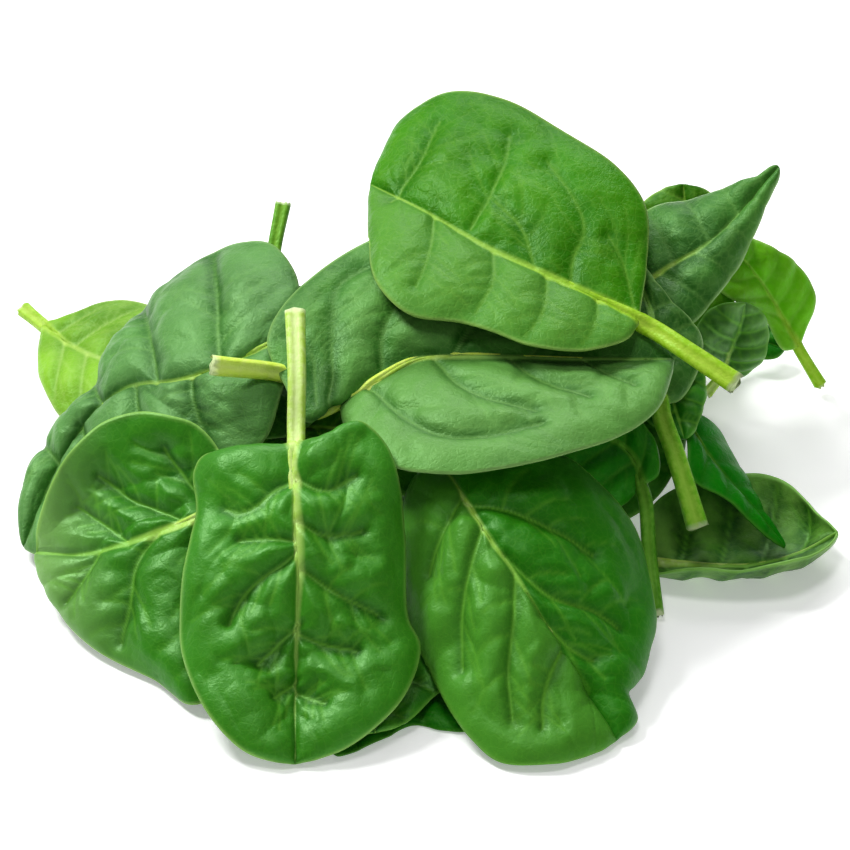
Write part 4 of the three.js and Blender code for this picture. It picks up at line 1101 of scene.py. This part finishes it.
frontRightLeaf = {
    "node": "front_right_leaf", "grid": "large", "show": "near",
    "rib": [[2.5, 22, 31], [8, 14.5, 31], [12, 7, 29], [20, -5.3, 23], [26.5, -16, 16], [35, -30.5, 4.5],
        [41, -38.3, 1]],
    "left": [[16, 23, 33], [30.5, 22, 30], [38, 16, 26], [45.5, 6.5, 19], [49, -9, 9.5], [49.3, -14.5, 7],
        [46.5, -24, 4.5], [43.3, -28.2, 4.5], [45.5, -33.5, 2]],
    "right": [[2, 19, 29], [-3, 15.5, 27], [-5, 4.5, 20], [-3, -11.5, 13], [3, -26, 7], [10, -38, 2.5],
        [16.5, -43, 1], [27.5, -43, 1.5], [36, -40.8, 1]],
    "stalk": [[-3, 27, 31], [-10, 32, 30]], "stalkWidth": 3.4, "puff": [3.5, 3.5], "pucker": 1.8,
    "wave": 0.6, "quilt": 1.7, "crumple": 1.2, "frill": 0.4, "ridge": 2.2, "ribRise": 0.6,
    "solidPucker": 0.25,
    "veins": [
        [[9, 11.5], [20, 9.9], [30.6, 4.6], [36, 1]],
        [[17, 0], [26.4, -8.1], [37, -11.2], [41.1, -14.3]],
        [[24.2, -12.3], [30.6, -18.7], [35.9, -21.8]],
        [[8.4, 13], [3.1, 3.5], [1.1, -2.9]],
        [[12.5, 6.6], [9.5, -3.8], [8, -13.4], [8.5, -23]],
        [[19, -3.9], [19, -13.4], [18, -24], [19, -34]],
        [[28, -19.8], [25.4, -28.2], [25.3, -36]],
    ],
    # a painted lit side: one half is paler, as if it faced the light
    "look": {"litHalf": 1, "litHalfTone": (100, 168, 56), "litHalfShare": 0.45, "body": (20, 112, 4),
        "light": (48, 140, 14), "gloss": 0.45},
}
makeLeaf(frontRightLeaf, deepFinish)

centreLeaf = {
    "node": "centre_leaf", "grid": "large", "show": "near",
    "rib": [[-19.5, 35, 37], [-11, 39, 39], [-1, 44, 41], [10, 44.5, 42], [30, 44, 42], [54.5, 44, 40]],
    "left": [[-23, 32, 37], [-26.5, 30.5, 37.5], [-30.5, 38, 39], [-34.5, 47.5, 42], [-31, 56, 45],
        [-23, 64, 48], [-12, 70, 50], [2, 74, 50], [17, 71, 49], [32, 63, 47], [46, 53, 43]],
    "right": [[-17, 29, 37], [-13, 24, 37], [-7, 20.4, 38], [5.5, 19.3, 40], [22.7, 21, 41], [38, 25.5, 41],
        [50, 32.5, 40]],
    "stalk": [[-29, 40.5, 33], [-46.5, 43, 38]], "stalkWidth": 4.2, "puff": [2.2, 1.6], "pucker": 1.1,
    "quilt": 1.3, "crumple": 0.7, "frill": 0.2, "ribRise": 1, "ribTaper": 0.5, "ribSlope": 0.5,
    "solidPucker": 0.2,
    "veins": [
        [[-23.8, 34.5], [-24.2, 38.9], [-24.6, 44.9], [-29, 50]],
        [[-20.2, 33.2], [-20.2, 52.8], [-19.8, 59.6], [-17.4, 62.5], [-12.8, 64.2]],
        [[-9.5, 40.9], [-9.5, 46.4], [-8.4, 52.1], [-6.6, 55.4], [0, 60]],
        [[6, 44.5], [10, 51], [20, 56]],
        [[22, 44.3], [28, 49], [36, 52]],
        [[-12.1, 37.4], [-6.6, 32.5], [-2.4, 30.1], [2, 27.5], [11.4, 27], [20.5, 29], [25.3, 29.9]],
        [[2, 44.3], [8, 38], [16, 35], [24, 33]],
        [[18, 44.3], [26, 39], [36, 36]],
        [[34, 44.2], [40, 41], [46, 38.5]],
    ],
    # a painted sheen on the lower half, and deeper painted shade in the creases
    "look": {"litHalf": 1, "litHalfTone": (118, 178, 84), "litHalfShare": 0.3, "stalk": (222, 250, 84),
        "stalkPale": (240, 255, 150), "creaseShadeShow": 0.7, "deep": (24, 88, 12), "body": (66, 134, 38),
        "light": (112, 170, 82)},
}
makeLeaf(centreLeaf, greyFinish)

frontCentreLeaf = {
    "node": "front_centre_leaf", "grid": "large", "show": "near",
    "rib": [[-28, 25, 40], [-27.5, 9, 33], [-27, -3.5, 25], [-27.5, -12, 19], [-28, -26, 9], [-28, -43, 1]],
    "left": [[-25, 26, 40.5], [-19.5, 27.5, 42], [-14, 30.3, 43], [-8.5, 25, 38], [-6, 16, 32], [-5, 5, 26],
        [-4, -12, 17], [-1.5, -18.5, 13], [-5.5, -30, 8], [-16, -39, 3]],
    "right": [[-31, 24.5, 40], [-39, 24.6, 39], [-48, 23, 37], [-49.8, 20, 35], [-49, 11, 30],
        [-52, -3.5, 22], [-52.5, -17, 14], [-48, -30.5, 8], [-39.5, -40, 3]],
    "stalk": [[-28, 40, 48], [-28.5, 54.8, 54]], "stalkWidth": 4.2, "puff": [2.4, 2.4], "pucker": 1.9,
    "wave": 0.6, "quilt": 1.9, "crumple": 1.3, "frill": 0.4, "ridge": 0.6, "ribRise": 0.8, "ribTaper": 0.62,
    "solidPucker": 0.25,
    "veins": [
        [[-27.9, 4.6], [-34.1, 5], [-40.3, 4.6]],
        [[-27.5, 2.4], [-31.2, -0.7], [-39.2, -7.1], [-42.2, -13.4]],
        [[-26.4, -1.8], [-21.1, -5.5], [-10.6, -11.2]],
        [[-27.1, 8.3], [-22.2, 5.7], [-14, 6.5]],
        [[-27.1, 17.4], [-22.2, 15.2], [-15, 19]],
        [[-28.2, 17.4], [-32.8, 15.2], [-38.1, 11], [-43.3, 11]],
        [[-27.1, -13.4], [-30.6, -16.5], [-36, -22]],
        [[-27.5, -15.4], [-22.2, -17.6], [-15, -19]],
        [[-27.7, -26], [-32.8, -29.3]],
        [[-27.7, -28.4], [-21.5, -30.6]],
    ],
    "look": {"ribTone": (186, 232, 112), "light": (66, 152, 26), "deep": (4, 72, 2),
        "rim": (160, 214, 100)},
}
makeLeaf(frontCentreLeaf, deepFinish)

topLeaf = {
    "node": "top_leaf", "grid": "large", "show": "near",
    "rib": [[46.6, 52.7, 53], [32, 60, 57], [15, 68, 60], [-2, 78, 61], [-12, 83, 59]],
    "left": [[43.6, 48.3, 53], [33, 46, 54], [23, 47, 55], [8.5, 52, 56], [-3, 54, 57], [-10, 60, 58],
        [-12.2, 70, 58]],
    "right": [[48.5, 65, 57], [48.5, 78, 62], [42, 87, 66], [32, 94, 68], [18, 102, 69], [5, 103.5, 68],
        [-5, 98, 64], [-9, 91, 61]],
    "stalk": [[57, 46.4, 51.5], [68, 39, 48.5]], "stalkWidth": 4.6, "puff": [1.6, 1.6], "pucker": 0.9,
    "wave": 0.4, "quilt": 0.9, "frill": 0.2, "ribRise": 0.3, "solidPucker": 0.2,
    "veins": [
        [[-7.5, 79], [-1, 88], [3, 97]],
        [[9.9, 72.8], [13.4, 78.5], [17.2, 86], [19, 94]],
        [[32.1, 60.5], [32.6, 67.7], [35.6, 72.4], [31, 82.5], [27.5, 88]],
        [[24, 64], [22, 72], [16, 79]],
        [[46.2, 54.3], [43.6, 65.5], [40.3, 71.5]],
        [[2, 76], [1, 68], [-2, 60]],
        [[15, 69], [15, 61], [11, 54.5]],
        [[27, 62], [26, 55], [22, 49]],
        [[38, 57], [37, 51], [34, 47.5]],
    ],
    # a painted sheen on the lower half
    "look": {"litHalf": 0, "litHalfTone": (112, 172, 74), "litHalfShare": 0.45, "body": (56, 138, 2),
        "deep": (40, 114, 1), "light": (84, 156, 18), "veinShow": 0.3},
}
makeLeaf(topLeaf, brightFinish)


# The table, the soft light and the camera.
table = {"size": 6, "colour": (250, 250, 250), "glow": 0.3, "rough": 0.7, "gloss": 0.2}
camera = {"target": (0, 0.0065, 0.025), "distance": 3, "fieldWidth": 0.187, "sensor": 36, "farEnd": 20}
skyLight = {"strength": 0.16}
softLights = [
    # place, size and power of each large soft light, all turned to the heap
    {"name": "keyLight", "place": (-0.65, 0.5, 0.95), "size": 0.35, "power": 14},
    {"name": "backLight", "place": (0.05, 1.0, 0.85), "size": 0.8, "power": 7},
    {"name": "topLight", "place": (-0.1, -0.05, 1.3), "size": 0.4, "power": 4},
    {"name": "frontLight", "place": (0.5, -1.1, 0.6), "size": 0.5, "power": 1.5},
]


def makeTable():
    bpy.ops.object.select_all(action="DESELECT")
    bpy.ops.mesh.primitive_plane_add(size=table["size"])
    floor = bpy.context.object
    floor.name = "table_top"
    material = bpy.data.materials.new("pale_table")
    nodes = Nodes(material)
    nodes.finish(nodes.add("ShaderNodeBsdfPrincipled", {
        "Base Color": srgb(table["colour"]),
        "Roughness": table["rough"],
        "Specular IOR Level": table["gloss"],
        "Emission Color": (1, 1, 1, 1),
        "Emission Strength": table["glow"],
    }))
    floor.data.materials.append(material)


def standAt(name, data, place):
    # Puts a light or the camera at its place, turned to the heap.
    holder = bpy.data.objects.new(name, data)
    bpy.context.scene.collection.objects.link(holder)
    holder.location = place
    direction = Vector(camera["target"]) - Vector(place)
    holder.rotation_euler = direction.to_track_quat("-Z", "Y").to_euler()
    return holder


def makeLights():
    world = bpy.data.worlds.new("soft_room")
    world.use_nodes = True
    sky = world.node_tree.nodes["Background"]
    sky.inputs["Color"].default_value = (1, 1, 1, 1)
    sky.inputs["Strength"].default_value = skyLight["strength"]
    bpy.context.scene.world = world
    for light in softLights:
        lamp = bpy.data.lights.new(light["name"], "AREA")
        lamp.shape = "DISK"
        lamp.size = light["size"]
        lamp.energy = light["power"]
        standAt(light["name"], lamp, light["place"])


def makeCamera():
    lens = bpy.data.cameras.new("view")
    lens.sensor_width = camera["sensor"]
    lens.lens = camera["sensor"] * camera["distance"] / camera["fieldWidth"]
    lens.clip_end = camera["farEnd"]
    away = Vector((0, -cosLook, sinLook)) * camera["distance"]
    bpy.context.scene.camera = standAt("view", lens, Vector(camera["target"]) + away)


makeTable()
makeLights()
makeCamera()
bpy.context.scene.view_settings.view_transform = "Standard"
print("table, lights and camera are set")
